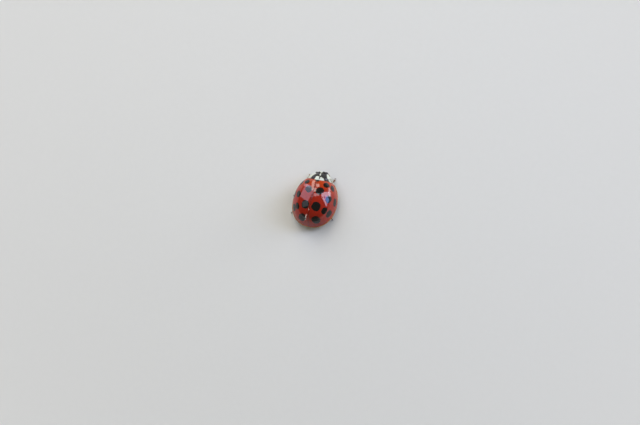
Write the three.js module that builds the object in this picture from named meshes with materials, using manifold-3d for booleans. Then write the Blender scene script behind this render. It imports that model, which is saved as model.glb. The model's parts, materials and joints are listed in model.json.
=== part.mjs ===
// A harlequin ladybird, life size, standing still with its wing cases closed.
// Millimetres, +Z up. The head faces -Y and the animal's left side is +X.
// The origin is on the floor under the middle of the animal's bounding box.

import * as THREE from 'three';
import { mergeVertices } from 'three/addons/utils/BufferGeometryUtils.js';
import Module from 'manifold-3d';

const wasm = await Module();
wasm.setup();

// ---------------------------------------------------------------- driving dimensions

const GAP = 0.02;                 // clearance between neighbouring pieces
const WELD = 1e-5;                // vertices nearer than this are one vertex

// Wing cases, measured from the point under the crown of the back.
const RIM_Z = 0.75;               // height of the side rim over the floor
const RIM_ARCH = 0.10;            // how far the rim rises towards its two ends
const HALF_WIDTH = 2.83;
const REAR_REACH = 3.3;           // crown to the tips of the wing cases
const FRONT_REACH = 3.42;         // crown to where the oval would close in front
const OUTLINE_POWER = 2.15;       // 2 is an ellipse, more is squarer
const CROWN_HEIGHT = 2.5;         // crown over the rim
const ARCH_POWER_OUT = 2.15;
const ARCH_POWER_UP = 2.05;
const FLANGE = 0.035;             // width of the flat side rim, as a share of the half width
const FLANGE_DROP = 0.07;
const SHELL = 0.5;                // thickness of a wing case
const AROUND = 32;                // facets round the oval
const OUTER_ROWS = 15;            // facet rows from the crown to the rim
const INNER_ROWS = 6;

// Where the wing cases meet the shield behind the head.
const BASE_Y = -2.42;             // at the middle
const BASE_ARCH = 0.36;           // the sides of that edge reach this much further forward
const SCUTELLUM_HALF = 0.36;      // half the width of the little triangle between the bases
const SCUTELLUM_LENGTH = 0.56;

// Shield over the fore body (pronotum).
const SHIELD_REAR_HALF = 1.76;
const SHIELD_FRONT_HALF = 0.8;
const SHIELD_NARROWING = 1.3;     // 1 narrows evenly forwards, more keeps the rear wide
const SHIELD_FRONT_Y = -3.58;
const SHIELD_CORNER_Y = -0.14;    // front corners reach this far in front of the middle
const SHIELD_CORNER_ROUND = 0.1;  // how far the rear corners are rounded in
const SHIELD_CORNER_LENGTH = 0.18; // share of the shield's length over which they are
const SHIELD_FRONT_SHIFT = -0.06; // the front edge is set this far over to the animal's right
const SHIELD_FRONT_TILT = 0.04;   // and its left end this far back
const SHIELD_REAR_RIDGE = 1.8;    // height over the rim at the rear
const SHIELD_FRONT_RIDGE = 0.98;
const SHIELD_REAR_EDGE = 0.14;    // height of the side edge over the rim at the rear corner
const SHIELD_FRONT_EDGE = 0.38;
const SHIELD_BOW_OUT = 2.2;       // more keeps the shield high towards its sides
const SHIELD_BOW_UP = 0.62;       // less makes its side edges fall more steeply
const SHIELD_THICK_REAR = 0.5;
const SHIELD_THICK_FRONT = 0.2;
const FORE_BODY_Y = -3.4;         // front of the fore body under the shield
const FORE_BODY_WIDTH = 0.9;      // as a share of the shield's
const FORE_BODY_SAG = 0.12;       // how far its middle hangs under the rim
const FORE_BODY_SIDE_RISE = 0.3;  // how much higher its underside is at the sides
const FORE_BODY_FRONT_RISE = 0.1; // and in front
const FORE_BODY_LEAST = 0.1;      // least thickness of its side edges

// Head, in its own frame: -Y runs to the mouth, +Z out of the forehead.
const HEAD_PLACE = new THREE.Vector3(-0.06, -3.54, RIM_Z + 0.33);
const HEAD_DIP = THREE.MathUtils.degToRad(35);
const HEAD_TURN = THREE.MathUtils.degToRad(8);      // to the animal's left
const HEAD_HALF = new THREE.Vector3(0.76, 0.6, 0.46);
const HEAD_TAPER = 0.28;          // how much narrower the head is at the mouth
const FOREHEAD_FALL = 0.12;       // how much flatter the forehead is there
const EYE_PLACE = new THREE.Vector3(0.6, -0.1, 0.08);
const EYE_HALF = new THREE.Vector3(0.25, 0.32, 0.28);
const MOUTH_PLACE = new THREE.Vector3(0, -0.52, -0.1);
const MOUTH_HALF = new THREE.Vector3(0.42, 0.24, 0.25);

// Underside.
const BELLY_SAG = 0.16;           // how far the belly hangs under the rim
const WAIST_Y = -0.12;            // breast in front of this, abdomen behind it

const FAR = 6;                    // a distance beyond every piece

// ---------------------------------------------------------------- solids

// A closed three.js geometry as a manifold solid.
function solidOf(geometry) {
  const bare = new THREE.BufferGeometry();
  bare.setAttribute('position', geometry.getAttribute('position').clone());
  if (geometry.index) {
    bare.setIndex(geometry.index.clone());
  }
  const merged = mergeVertices(bare, WELD);
  return new wasm.Manifold(new wasm.Mesh({
    numProp: 3,
    vertProperties: new Float32Array(merged.getAttribute('position').array),
    triVerts: new Uint32Array(merged.index.array),
  }));
}

function geometryOf(solid) {
  const mesh = solid.getMesh();
  const geometry = new THREE.BufferGeometry();
  geometry.setAttribute('position', new THREE.BufferAttribute(mesh.vertProperties, 3));
  geometry.setIndex(new THREE.BufferAttribute(mesh.triVerts, 1));
  return geometry;
}

// Moves every vertex of a geometry by a function of its position.
function reshape(geometry, move) {
  const position = geometry.getAttribute('position');
  const point = new THREE.Vector3();
  for (let i = 0; i < position.count; i += 1) {
    point.fromBufferAttribute(position, i);
    move(point);
    position.setXYZ(i, point.x, point.y, point.z);
  }
  return geometry;
}

// A ball with its poles on the Z axis.
function ball(around, rows) {
  return new THREE.SphereGeometry(1, around, rows).rotateX(Math.PI / 2);
}

function box(min, max) {
  const size = new THREE.Vector3().subVectors(max, min);
  const middle = new THREE.Vector3().addVectors(min, max).multiplyScalar(0.5);
  return solidOf(new THREE.BoxGeometry(size.x, size.y, size.z).translate(middle.x, middle.y, middle.z));
}

// Everything between two places across and two along.
function slab(x0, x1, y0, y1) {
  return box(new THREE.Vector3(x0, y0, -FAR), new THREE.Vector3(x1, y1, FAR));
}

// A ball at a place, with a half size each way.
function ballAt(place, half, grow, around, rows) {
  return reshape(ball(around, rows), (point) => {
    point.set(
      place.x + point.x * (half.x + grow),
      place.y + point.y * (half.y + grow),
      place.z + point.z * (half.z + grow),
    );
  });
}

// ---------------------------------------------------------------- wing cases

const power = (value, exponent) => Math.sign(value) * Math.abs(value) ** exponent;

// The oval of the wing cases seen from above, in the direction of a unit vector.
function oval(dx, dy) {
  const reach = dy > 0 ? REAR_REACH : FRONT_REACH;
  const exponent = 2 / OUTLINE_POWER;
  return new THREE.Vector2(HALF_WIDTH * power(dx, exponent), reach * power(dy, exponent));
}

function rimZ(y) {
  return RIM_Z + RIM_ARCH * (y / REAR_REACH) ** 2;
}

// The arch of the back from the crown (0) to the rim (1): reach out and height, both 0 to 1.
function arch(share) {
  const turn = share * Math.PI / 2;
  return [Math.sin(turn) ** (2 / ARCH_POWER_OUT), Math.abs(Math.cos(turn)) ** (2 / ARCH_POWER_UP)];
}

// Puts a ball's vertex on the oval at a share of its reach and a height over the rim.
function onOval(point, out, height) {
  const flat = Math.hypot(point.x, point.y);
  const edge = flat > 1e-6 ? oval(point.x / flat, point.y / flat) : new THREE.Vector2();
  const y = edge.y * out;
  point.set(edge.x * out, y, rimZ(y) + height);
}

// Both wing cases as one shell: outer face, flat side rim, under edge and inner face.
function shell(thickness) {
  const rows = OUTER_ROWS + INNER_ROWS;
  const inner = 1 - thickness / HALF_WIDTH;
  return solidOf(reshape(ball(AROUND, rows), (point) => {
    const row = Math.round(Math.acos(THREE.MathUtils.clamp(point.z, -1, 1)) / Math.PI * rows);
    if (row < OUTER_ROWS) {
      const [out, up] = arch(row / (OUTER_ROWS - 1));
      onOval(point, out * (1 - FLANGE), up * CROWN_HEIGHT);
    } else if (row === OUTER_ROWS) {
      onOval(point, 1, -FLANGE_DROP);
    } else {
      const [out, up] = arch((rows - row) / (INNER_ROWS - 1));
      onOval(point, out * inner, up * (CROWN_HEIGHT - thickness + FLANGE_DROP) - FLANGE_DROP);
    }
  }));
}

// Everything in front of the arched front edge of the wing cases, moved back by an amount.
function beforeBase(back) {
  const shape = new THREE.Shape();
  shape.moveTo(-HALF_WIDTH, -FAR);
  shape.lineTo(HALF_WIDTH, -FAR);
  const steps = 24;
  for (let i = 0; i <= steps; i += 1) {
    const x = HALF_WIDTH * (1 - 2 * i / steps);
    shape.lineTo(x, BASE_Y + back - BASE_ARCH * (x / SHIELD_REAR_HALF) ** 2);
  }
  return solidOf(new THREE.ExtrudeGeometry(shape, { depth: FAR, bevelEnabled: false }));
}

// The little triangle between the bases of the wing cases.
function triangle(grow) {
  const half = SCUTELLUM_HALF + grow;
  const tip = SCUTELLUM_LENGTH + grow * 2;
  const shape = new THREE.Shape();
  shape.moveTo(-half, BASE_Y - 0.3);
  shape.lineTo(half, BASE_Y - 0.3);
  shape.lineTo(half, BASE_Y);
  shape.lineTo(0, BASE_Y + tip);
  shape.lineTo(-half, BASE_Y);
  return solidOf(new THREE.ExtrudeGeometry(shape, { depth: FAR, bevelEnabled: false }));
}

const cases = shell(SHELL).subtract(beforeBase(GAP));
const closed = cases.subtract(triangle(GAP));
const elytronLeft = closed.intersect(slab(GAP / 2, FAR, -FAR, FAR));
const elytronRight = closed.intersect(slab(-FAR, -GAP / 2, -FAR, FAR));
const scutellum = cases.intersect(triangle(0));

// ---------------------------------------------------------------- shield behind the head

// Half the width of the shield from its rounded rear corners (0) to its front (1).
function shieldHalf(v) {
  const corner = Math.max(0, 1 - v / SHIELD_CORNER_LENGTH);
  const narrowing = (SHIELD_REAR_HALF - SHIELD_FRONT_HALF) * v ** SHIELD_NARROWING;
  return SHIELD_REAR_HALF - SHIELD_CORNER_ROUND * corner ** 2 - narrowing;
}

// The shield's surface: u runs across (-1 to 1), v from the rear (0) to the front (1).
function shieldPoint(u, v, depth) {
  const rear = BASE_Y - BASE_ARCH * u ** 2;
  const front = SHIELD_FRONT_Y + SHIELD_CORNER_Y * u ** 4 + SHIELD_FRONT_TILT * u;
  const ridge = SHIELD_REAR_RIDGE - (SHIELD_REAR_RIDGE - SHIELD_FRONT_RIDGE) * v ** 1.5;
  const bow = Math.max(0, 1 - Math.abs(u) ** SHIELD_BOW_OUT) ** SHIELD_BOW_UP;
  const edge = THREE.MathUtils.lerp(SHIELD_REAR_EDGE, SHIELD_FRONT_EDGE, v);
  const top = edge + (ridge - edge) * bow;
  const thin = THREE.MathUtils.lerp(SHIELD_THICK_REAR, SHIELD_THICK_FRONT, v);
  const thick = THREE.MathUtils.lerp(SHIELD_THICK_FRONT, thin, bow);
  const x = u * shieldHalf(v) + SHIELD_FRONT_SHIFT * v;
  return new THREE.Vector3(x, rear + (front - rear) * v, RIM_Z + top - thick * depth);
}

function shieldSolid() {
  const geometry = new THREE.BoxGeometry(2, 1, 1, 20, 6, 1);
  return solidOf(reshape(geometry, (point) => {
    point.copy(shieldPoint(point.x, 0.5 - point.y, 0.5 - point.z));
  }));
}

// The fore body under the shield: its top follows the shield, its underside is slightly domed.
function foreBody() {
  const geometry = new THREE.BoxGeometry(2, 1, 1, 12, 4, 1);
  return solidOf(reshape(geometry, (point) => {
    const u = point.x;
    const v = 0.5 - point.y;
    const under = shieldPoint(u, v, 1);
    const rise = FORE_BODY_SIDE_RISE * u ** 2 + FORE_BODY_FRONT_RISE * v;
    const bottom = RIM_Z - FORE_BODY_SAG + rise;
    const y = THREE.MathUtils.lerp(BASE_Y - BASE_ARCH * u ** 2, FORE_BODY_Y, v);
    const z = point.z > 0 ? under.z - GAP : Math.min(bottom, under.z - FORE_BODY_LEAST);
    point.set(under.x * FORE_BODY_WIDTH, y, z);
  }));
}

// ---------------------------------------------------------------- head

const side = { left: 1, right: -1 };

// A point with its distance from the middle plane scaled; a negative scale mirrors it.
const mirror = (point, scale) => new THREE.Vector3(point.x * scale, point.y, point.z);

// The mouth is dipped first and the whole head is then turned to one side.
const headTurn = new THREE.Euler(HEAD_DIP, 0, HEAD_TURN, 'ZXY');
const headFrame = new THREE.Matrix4()
  .makeRotationFromEuler(headTurn)
  .setPosition(HEAD_PLACE);

function headBall(grow) {
  return reshape(ball(14, 10), (point) => {
    const forward = Math.max(0, -point.y);
    const taper = 1 - HEAD_TAPER * forward ** 2;
    const flat = point.z > 0 ? 1 - FOREHEAD_FALL * forward : 1;
    point.set(
      point.x * (HEAD_HALF.x + grow) * taper,
      point.y * (HEAD_HALF.y + grow),
      point.z * (HEAD_HALF.z + grow) * flat,
    );
  });
}

function eyeBall(hand, grow) {
  return ballAt(mirror(EYE_PLACE, side[hand]), EYE_HALF, grow, 12, 8);
}

// A rounded limb between two points: radius a at the start, b at the end, and a bulge between.
function limb(start, end, a, b, bulge, grow) {
  const length = start.distanceTo(end);
  const profile = [new THREE.Vector2(0, -a - grow)];
  const steps = 3;
  for (let i = 1; i <= steps; i += 1) {
    const turn = Math.PI / 2 * i / steps;
    profile.push(new THREE.Vector2(Math.sin(turn) * (a + grow), -Math.cos(turn) * (a + grow)));
  }
  profile.push(new THREE.Vector2((a + b) / 2 + bulge + grow, length / 2));
  for (let i = 0; i < steps; i += 1) {
    const turn = Math.PI / 2 * i / steps;
    profile.push(new THREE.Vector2(Math.cos(turn) * (b + grow), length + Math.sin(turn) * (b + grow)));
  }
  profile.push(new THREE.Vector2(0, length + b + grow));
  const along = new THREE.Vector3().subVectors(end, start).normalize();
  const turn = new THREE.Quaternion().setFromUnitVectors(new THREE.Vector3(0, 1, 0), along);
  const geometry = new THREE.LatheGeometry(profile, 8);
  geometry.applyQuaternion(turn);
  geometry.translate(start.x, start.y, start.z);
  return solidOf(geometry);
}

function chain(points, radii, grow) {
  let solid = null;
  for (let i = 0; i + 1 < points.length; i += 1) {
    const piece = limb(points[i], points[i + 1], radii[i], radii[i + 1], 0, grow);
    solid = solid ? solid.add(piece) : piece;
  }
  return solid;
}

// Upper lip and jaws, in the head's frame.
function mouthSolid(grow) {
  return solidOf(ballAt(MOUTH_PLACE, MOUTH_HALF, grow, 12, 8));
}

// Feelers and palps: points in the head's frame for the left side.
const FEELER = [
  new THREE.Vector3(0.52, -0.46, -0.1),
  new THREE.Vector3(0.86, -0.5, -0.22),
  new THREE.Vector3(0.96, -0.16, -0.4),
];
const FEELER_RADII = [0.17, 0.2, 0.23];
const PALP = [
  new THREE.Vector3(0.4, -0.5, -0.4),
  new THREE.Vector3(0.54, -0.82, -0.38),
];
const PALP_RADII = [0.18, 0.22];

function feeler(hand, grow) {
  return chain(FEELER.map((point) => mirror(point, side[hand])), FEELER_RADII, grow);
}

function palp(hand, grow) {
  return chain(PALP.map((point) => mirror(point, side[hand])), PALP_RADII, grow);
}

const eyes = {
  left: solidOf(eyeBall('left', 0)),
  right: solidOf(eyeBall('right', 0)),
};
const mouth = mouthSolid(0);
const feelers = {};
const palps = {};
let headSolid = solidOf(headBall(0)).subtract(mouthSolid(GAP));
for (const hand of ['left', 'right']) {
  headSolid = headSolid.subtract(solidOf(eyeBall(hand, GAP)));
  feelers[hand] = feeler(hand, 0)
    .subtract(solidOf(headBall(GAP)))
    .subtract(solidOf(eyeBall(hand, GAP)))
    .subtract(mouthSolid(GAP));
  palps[hand] = palp(hand, 0)
    .subtract(solidOf(headBall(GAP)))
    .subtract(mouthSolid(GAP))
    .subtract(feeler(hand, GAP));
}

// The room that the head takes out of the fore body and the shield, in the body's frame.
function headRoom() {
  const solids = [solidOf(headBall(GAP).applyMatrix4(headFrame))];
  for (const hand of ['left', 'right']) {
    solids.push(solidOf(eyeBall(hand, GAP).applyMatrix4(headFrame)));
  }
  return solids.reduce((sum, solid) => sum.add(solid));
}

// ---------------------------------------------------------------- legs

// Joints of each left leg: hip, knee, ankle and the tip of the foot.
const LEGS = {
  front: [
    new THREE.Vector3(0.5, -2.66, 0.56),
    new THREE.Vector3(1.38, -2.6, 0.48),
    new THREE.Vector3(1.6, -3.24, 0.32),
    new THREE.Vector3(1.64, -3.64, 0.2),
  ],
  middle: [
    new THREE.Vector3(0.85, -1.42, 0.52),
    new THREE.Vector3(2.02, -1.62, 0.46),
    new THREE.Vector3(2.52, -0.92, 0.32),
    new THREE.Vector3(2.84, -0.6, 0.2),
  ],
  hind: [
    new THREE.Vector3(0.9, -0.42, 0.52),
    new THREE.Vector3(1.98, 0.16, 0.46),
    new THREE.Vector3(2.24, 1.16, 0.32),
    new THREE.Vector3(2.5, 1.62, 0.2),
  ],
};
// How far out each leg is set, as a share of the reach above: the stance isn't quite even.
const LEG_REACH = {
  front_left: 1,
  front_right: 1,
  middle_left: 1.04,
  middle_right: 0.9,
  hind_left: 1.07,
  hind_right: 1,
};
const HIP_RADIUS = 0.28;
const THIGH_BULGE = 0.03;
const KNEE_RADIUS = 0.25;
const SHIN_START_RADIUS = 0.22;
const ANKLE_RADIUS = 0.24;
const FOOT_START_RADIUS = 0.21;
const FOOT_RADIUS = 0.24;

const aboveFloor = box(new THREE.Vector3(-FAR, -FAR, 0), new THREE.Vector3(FAR, FAR, FAR));

function legJoints(pair, hand) {
  const reach = side[hand] * LEG_REACH[`${pair}_${hand}`];
  return LEGS[pair].map((point) => mirror(point, reach));
}

function thigh(pair, hand, grow) {
  const [hip, knee] = legJoints(pair, hand);
  return limb(hip, knee, HIP_RADIUS, KNEE_RADIUS, THIGH_BULGE, grow);
}

function shin(pair, hand, grow) {
  const [, knee, ankle] = legJoints(pair, hand);
  return limb(knee, ankle, SHIN_START_RADIUS, ANKLE_RADIUS, 0, grow);
}

function foot(pair, hand) {
  const [, , ankle, tip] = legJoints(pair, hand);
  return limb(ankle, tip, FOOT_START_RADIUS, FOOT_RADIUS, 0, 0).intersect(aboveFloor);
}

const legSolids = {};
for (const pair of Object.keys(LEGS)) {
  for (const hand of ['left', 'right']) {
    legSolids[`femur_${pair}_${hand}`] = thigh(pair, hand, 0);
    legSolids[`tibia_${pair}_${hand}`] = shin(pair, hand, 0).subtract(thigh(pair, hand, GAP));
    legSolids[`tarsus_${pair}_${hand}`] = foot(pair, hand)
      .subtract(shin(pair, hand, GAP))
      .subtract(thigh(pair, hand, GAP));
  }
}

// The room that the thighs and shins take out of the underside.
function legRoom() {
  const solids = [];
  for (const pair of Object.keys(LEGS)) {
    for (const hand of ['left', 'right']) {
      solids.push(thigh(pair, hand, GAP));
      solids.push(shin(pair, hand, GAP));
    }
  }
  return solids.reduce((sum, solid) => sum.add(solid));
}

// ---------------------------------------------------------------- breast and abdomen

// Fills the wing cases down to a slightly domed belly.
function innerBody() {
  const lowerRows = 4;
  const rows = INNER_ROWS - 1 + lowerRows;
  const inner = 1 - (SHELL + GAP * 2) / HALF_WIDTH;
  const top = CROWN_HEIGHT - SHELL - GAP * 2 + FLANGE_DROP;
  return solidOf(reshape(ball(AROUND, rows), (point) => {
    const row = Math.round(Math.acos(THREE.MathUtils.clamp(point.z, -1, 1)) / Math.PI * rows);
    if (row < INNER_ROWS) {
      const [out, up] = arch(row / (INNER_ROWS - 1));
      onOval(point, out * inner, up * top - FLANGE_DROP);
    } else {
      const share = (rows - row) / lowerRows;
      onOval(point, share * inner, -FLANGE_DROP - BELLY_SAG * (1 - share ** 2));
    }
  }));
}

const room = legRoom();
const trunk = innerBody().subtract(beforeBase(GAP)).subtract(room);
const thorax = trunk.intersect(slab(-FAR, FAR, -FAR, WAIST_Y - GAP / 2));
const abdomen = trunk.intersect(slab(-FAR, FAR, WAIST_Y + GAP / 2, FAR));
const prothorax = foreBody().subtract(headRoom()).subtract(room);
const pronotum = shieldSolid().subtract(headRoom()).subtract(room);

// ---------------------------------------------------------------- scene graph

const finish = {
  red: { color: 0xb3200f, roughness: 0.2, metalness: 0 },
  ivory: { color: 0xe9e2c4, roughness: 0.3, metalness: 0 },
  black: { color: 0x0c0b0b, roughness: 0.3, metalness: 0 },
  brown: { color: 0x4a2a12, roughness: 0.5, metalness: 0 },
  tan: { color: 0x8a5a26, roughness: 0.5, metalness: 0 },
};

function piece(name, solid, look) {
  const mesh = new THREE.Mesh(geometryOf(solid), new THREE.MeshStandardMaterial(finish[look]));
  mesh.name = name;
  return mesh;
}

// A mesh whose own origin is at a point of the animal, such as a hip.
function pieceAt(name, solid, look, place) {
  const mesh = piece(name, solid, look);
  mesh.geometry.translate(-place.x, -place.y, -place.z);
  mesh.position.copy(place);
  return mesh;
}

const animal = new THREE.Group();

const headGroup = new THREE.Group();
headGroup.position.copy(HEAD_PLACE);
headGroup.rotation.copy(headTurn);
headGroup.add(piece('head', headSolid, 'black'));
headGroup.add(piece('mouthparts', mouth, 'brown'));
for (const hand of ['left', 'right']) {
  headGroup.add(piece(`eye_${hand}`, eyes[hand], 'black'));
  headGroup.add(piece(`antenna_${hand}`, feelers[hand], 'tan'));
  headGroup.add(piece(`palp_${hand}`, palps[hand], 'brown'));
}
animal.add(headGroup);

const trunkGroup = new THREE.Group();
trunkGroup.add(piece('pronotum', pronotum, 'ivory'));
trunkGroup.add(piece('prothorax', prothorax, 'black'));
trunkGroup.add(piece('thorax', thorax, 'black'));
trunkGroup.add(piece('abdomen', abdomen, 'brown'));
trunkGroup.add(piece('scutellum', scutellum, 'black'));
trunkGroup.add(piece('elytron_left', elytronLeft, 'red'));
trunkGroup.add(piece('elytron_right', elytronRight, 'red'));
animal.add(trunkGroup);

for (const pair of Object.keys(LEGS)) {
  for (const hand of ['left', 'right']) {
    const [hip, knee, ankle] = legJoints(pair, hand);
    const leg = new THREE.Group();
    leg.add(pieceAt(`femur_${pair}_${hand}`, legSolids[`femur_${pair}_${hand}`], 'black', hip));
    leg.add(pieceAt(`tibia_${pair}_${hand}`, legSolids[`tibia_${pair}_${hand}`], 'brown', knee));
    leg.add(pieceAt(`tarsus_${pair}_${hand}`, legSolids[`tarsus_${pair}_${hand}`], 'tan', ankle));
    animal.add(leg);
  }
}

// Sets the animal on the floor with the origin under the middle of its bounding box.
const whole = new THREE.Group();
whole.add(animal);
whole.updateMatrixWorld(true);
const bounds = new THREE.Box3().setFromObject(animal, true);
const centre = bounds.getCenter(new THREE.Vector3());
animal.position.set(-centre.x, -centre.y, -bounds.min.z);

export default whole;
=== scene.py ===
"""A life-size harlequin ladybird, standing still with its wing cases closed."""

import json
import math
from itertools import product
from types import SimpleNamespace

import bmesh
import bpy
import numpy as np
from mathutils import Matrix, Vector

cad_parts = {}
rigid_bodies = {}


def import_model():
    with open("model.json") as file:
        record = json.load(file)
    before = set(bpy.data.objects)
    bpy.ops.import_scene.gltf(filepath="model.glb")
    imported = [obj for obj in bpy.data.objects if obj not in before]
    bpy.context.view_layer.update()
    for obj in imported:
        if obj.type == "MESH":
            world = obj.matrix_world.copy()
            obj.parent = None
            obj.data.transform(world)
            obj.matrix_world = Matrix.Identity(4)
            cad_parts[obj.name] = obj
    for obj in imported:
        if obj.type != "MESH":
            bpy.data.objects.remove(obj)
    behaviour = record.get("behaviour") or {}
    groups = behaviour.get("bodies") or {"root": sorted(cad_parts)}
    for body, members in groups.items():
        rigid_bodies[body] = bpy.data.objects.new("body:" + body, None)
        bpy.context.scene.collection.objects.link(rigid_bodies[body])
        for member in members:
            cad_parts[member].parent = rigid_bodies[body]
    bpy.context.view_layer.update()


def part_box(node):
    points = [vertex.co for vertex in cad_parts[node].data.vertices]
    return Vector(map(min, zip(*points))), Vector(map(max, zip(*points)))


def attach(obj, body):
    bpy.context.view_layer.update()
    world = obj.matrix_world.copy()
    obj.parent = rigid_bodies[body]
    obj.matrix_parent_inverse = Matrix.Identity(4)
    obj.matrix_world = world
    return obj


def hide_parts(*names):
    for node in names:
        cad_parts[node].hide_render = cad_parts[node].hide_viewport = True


bl_info = {
    "name": "Ladybird",
    "version": (1, 0, 0),
    "blender": (4, 5, 0),
    "location": "View3D > Sidebar > Ladybird",
    "description": "Makes a life-size harlequin ladybird over its solid frame",
    "category": "Mesh",
}

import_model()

MM = 0.001                      # one millimetre in Blender's metres
HANDS = {"left": 1, "right": -1}
NEVER = 9.0                     # a distance, in mm, that stands for "nowhere near"
REAR_REACH = 3.3                # from under the crown to the tips of the wing cases, in mm
SHIELD_REAR_HALF = 1.76         # half the width of the shield at its rear corners, in mm


# ------------------------------------------------------------------ places, from the frame

def under_crown():
    """The point on the floor under the crown of the back, in the frame's own millimetres."""
    left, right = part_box("elytron_left"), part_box("elytron_right")
    seam = (left[0].x + right[1].x) / 2 / MM
    return np.array([seam, left[1].y / MM - REAR_REACH, 0.0])


def node_box(node):
    """A node's lowest and highest corner, in millimetres from under the crown of the back."""
    low, high = (np.array(corner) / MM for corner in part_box(node))
    return low - CROWN, high - CROWN


def middle(low, high):
    return (np.array(low) + np.array(high)) / 2


CROWN = under_crown()
HALF_WIDTH, _, CROWN_TOP = node_box("elytron_left")[1]


# ------------------------------------------------------------------ settings

def length(name, description, mm):
    """A length setting, given in millimetres and kept in metres."""
    return bpy.props.FloatProperty(
        name=name, description=description, default=mm * MM, min=0, unit="LENGTH", precision=6
    )


def angle(name, description, degrees):
    return bpy.props.FloatProperty(
        name=name, description=description, default=math.radians(degrees), subtype="ANGLE"
    )


def share(name, description, default):
    return bpy.props.FloatProperty(
        name=name, description=description, default=default, min=0, subtype="FACTOR"
    )


def colour(name, description, default):
    return bpy.props.FloatVectorProperty(
        name=name, description=description, default=default, size=3, min=0, max=1, subtype="COLOR"
    )


class WingCaseSettings(bpy.types.PropertyGroup):
    rear_reach: length("Rear reach", "From under the crown to the tips of the wing cases", REAR_REACH)
    front_reach: length("Front reach", "From under the crown to where the oval would close", 3.42)
    rim_arch: length("Rim arch", "How far the side rim rises towards its two ends", 0.1)
    rim_height: length("Rim height", "Height of the side rim over the floor", 0.75)
    base_back: length("Base", "From the crown forward to the front edge, at the middle", 2.42)
    base_arch: length("Base arch", "How much further forward the sides of that edge reach", 0.36)
    thickness: length("Thickness", "Thickness of a wing case", 0.22)
    under_edge: length("Under edge", "Width of the turned-in edge under the rim", 0.5)
    oval_power: share("Oval power", "2 is an ellipse and more is squarer", 2.15)
    arch_out: share("Arch power out", "Fullness of the arch towards the rim", 2.15)
    arch_up: share("Arch power up", "Fullness of the arch towards the crown", 2.05)
    flange: share("Flange", "Width of the flat side rim as a share of the half width", 0.035)
    flange_drop: length("Flange drop", "How far the flat rim hangs", 0.07)


class ShieldSettings(bpy.types.PropertyGroup):
    rear_half: length("Rear half width", "Half the width at the rear corners", SHIELD_REAR_HALF)
    front_half: length("Front half width", "Half the width at the front corners", 0.8)
    front_reach: length("Front reach", "From the crown forward to the front edge", 3.58)
    corner_reach: length("Corner reach", "How far the front corners pass that edge", 0.14)
    narrowing: share("Narrowing", "1 narrows evenly forwards, more keeps the rear wide", 1.5)
    front_shift: length("Front shift", "How far the front edge is set over to the right", 0.06)
    front_tilt: length("Front tilt", "How far back the front edge's left end is", 0.04)
    rear_ridge: length("Rear ridge", "Height of the rear edge over the rim", 1.8)
    front_ridge: length("Front ridge", "Height of the front edge over the rim", 0.98)
    rear_edge: length("Rear side edge", "Height of the side edge over the rim, at the rear", 0.14)
    front_edge: length("Front side edge", "Height of the side edge over the rim, in front", 0.38)
    thickness: length("Thickness", "Thickness of the shield", 0.16)


class HeadSettings(bpy.types.PropertyGroup):
    half_width: length("Half width", "Half the width of the head without the eyes", 0.76)
    half_length: length("Half length", "Half the length from crown to mouth", 0.6)
    half_depth: length("Half depth", "Half the depth from forehead to throat", 0.46)
    dip: angle("Dip", "How far the mouth is turned down", 35)
    turn: angle("Turn", "How far the head is turned to the animal's left", 8)
    eye_half: length("Eye radius", "Half the width of an eye", 0.25)
    eye_out: length("Eye place", "From the middle of the head out to an eye", 0.6)


class ColourSettings(bpy.types.PropertyGroup):
    red: colour("Red", "Deep red of the wing cases", (0.365, 0.0165, 0.006))
    orange: colour("Orange", "Warmer red near the front", (0.46, 0.048, 0.006))
    rim: colour("Rim", "Tan of the narrow side rim", (0.42, 0.25, 0.09))
    black: colour("Black", "Black of the spots and the marks", (0.008, 0.006, 0.006))
    ivory: colour("Ivory", "Pale parts of the shield and the head", (0.65, 0.69, 0.56))
    dark: colour("Dark brown", "Breast and thighs", (0.035, 0.018, 0.011))
    brown: colour("Brown", "Belly and shins", (0.22, 0.085, 0.03))
    tan: colour("Tan", "Feet and feelers", (0.46, 0.26, 0.09))


class StageSettings(bpy.types.PropertyGroup):
    azimuth: angle("Azimuth", "Direction of the camera round the animal", 217.44)
    elevation: angle("Elevation", "Height of the camera over the horizon", 70.65)
    roll: angle("Roll", "Turn of the camera about its line of sight", -25.42)
    view_width: length("View width", "Width of the floor seen across the picture", 79.6)
    aside: length("Aside", "From the crown's foot to the middle of the picture", 0.63)
    below: length("Below", "From the crown's foot down to the middle of the picture", 1.25)
    lens: bpy.props.FloatProperty(name="Lens", description="Focal length in mm", default=85)
    sensor: bpy.props.FloatProperty(name="Sensor", description="Sensor width in mm", default=23.7)


class LadybirdSettings(bpy.types.PropertyGroup):
    wing_case: bpy.props.PointerProperty(type=WingCaseSettings)
    shield: bpy.props.PointerProperty(type=ShieldSettings)
    head: bpy.props.PointerProperty(type=HeadSettings)
    colours: bpy.props.PointerProperty(type=ColourSettings)
    stage: bpy.props.PointerProperty(type=StageSettings)


def settings(group):
    """A settings group as plain values, with its lengths in millimetres."""
    source = getattr(bpy.context.scene.ladybird, group)
    values = {}
    for prop in source.bl_rna.properties:
        if prop.identifier in ("rna_type", "name"):
            continue
        value = getattr(source, prop.identifier)
        if getattr(prop, "unit", "NONE") == "LENGTH":
            value = value / MM
        values[prop.identifier] = tuple(value) if hasattr(value, "__len__") else value
    return SimpleNamespace(**values)


# ------------------------------------------------------------------ meshes

WELD, SLIVER = 2e-7, 1e-8       # nearer points are made one, and shorter edges go, in metres
THINNEST = 0.001                # a limb's half width at its very ends, in mm


def grid_faces(rows, columns, closed=False):
    """Quads over a grid of rows by columns of points; closed joins the last column to the first."""
    return [
        (row * columns + column, row * columns + (column + 1) % columns,
         (row + 1) * columns + (column + 1) % columns, (row + 1) * columns + column)
        for row in range(rows - 1) for column in range(columns if closed else columns - 1)
    ]


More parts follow.
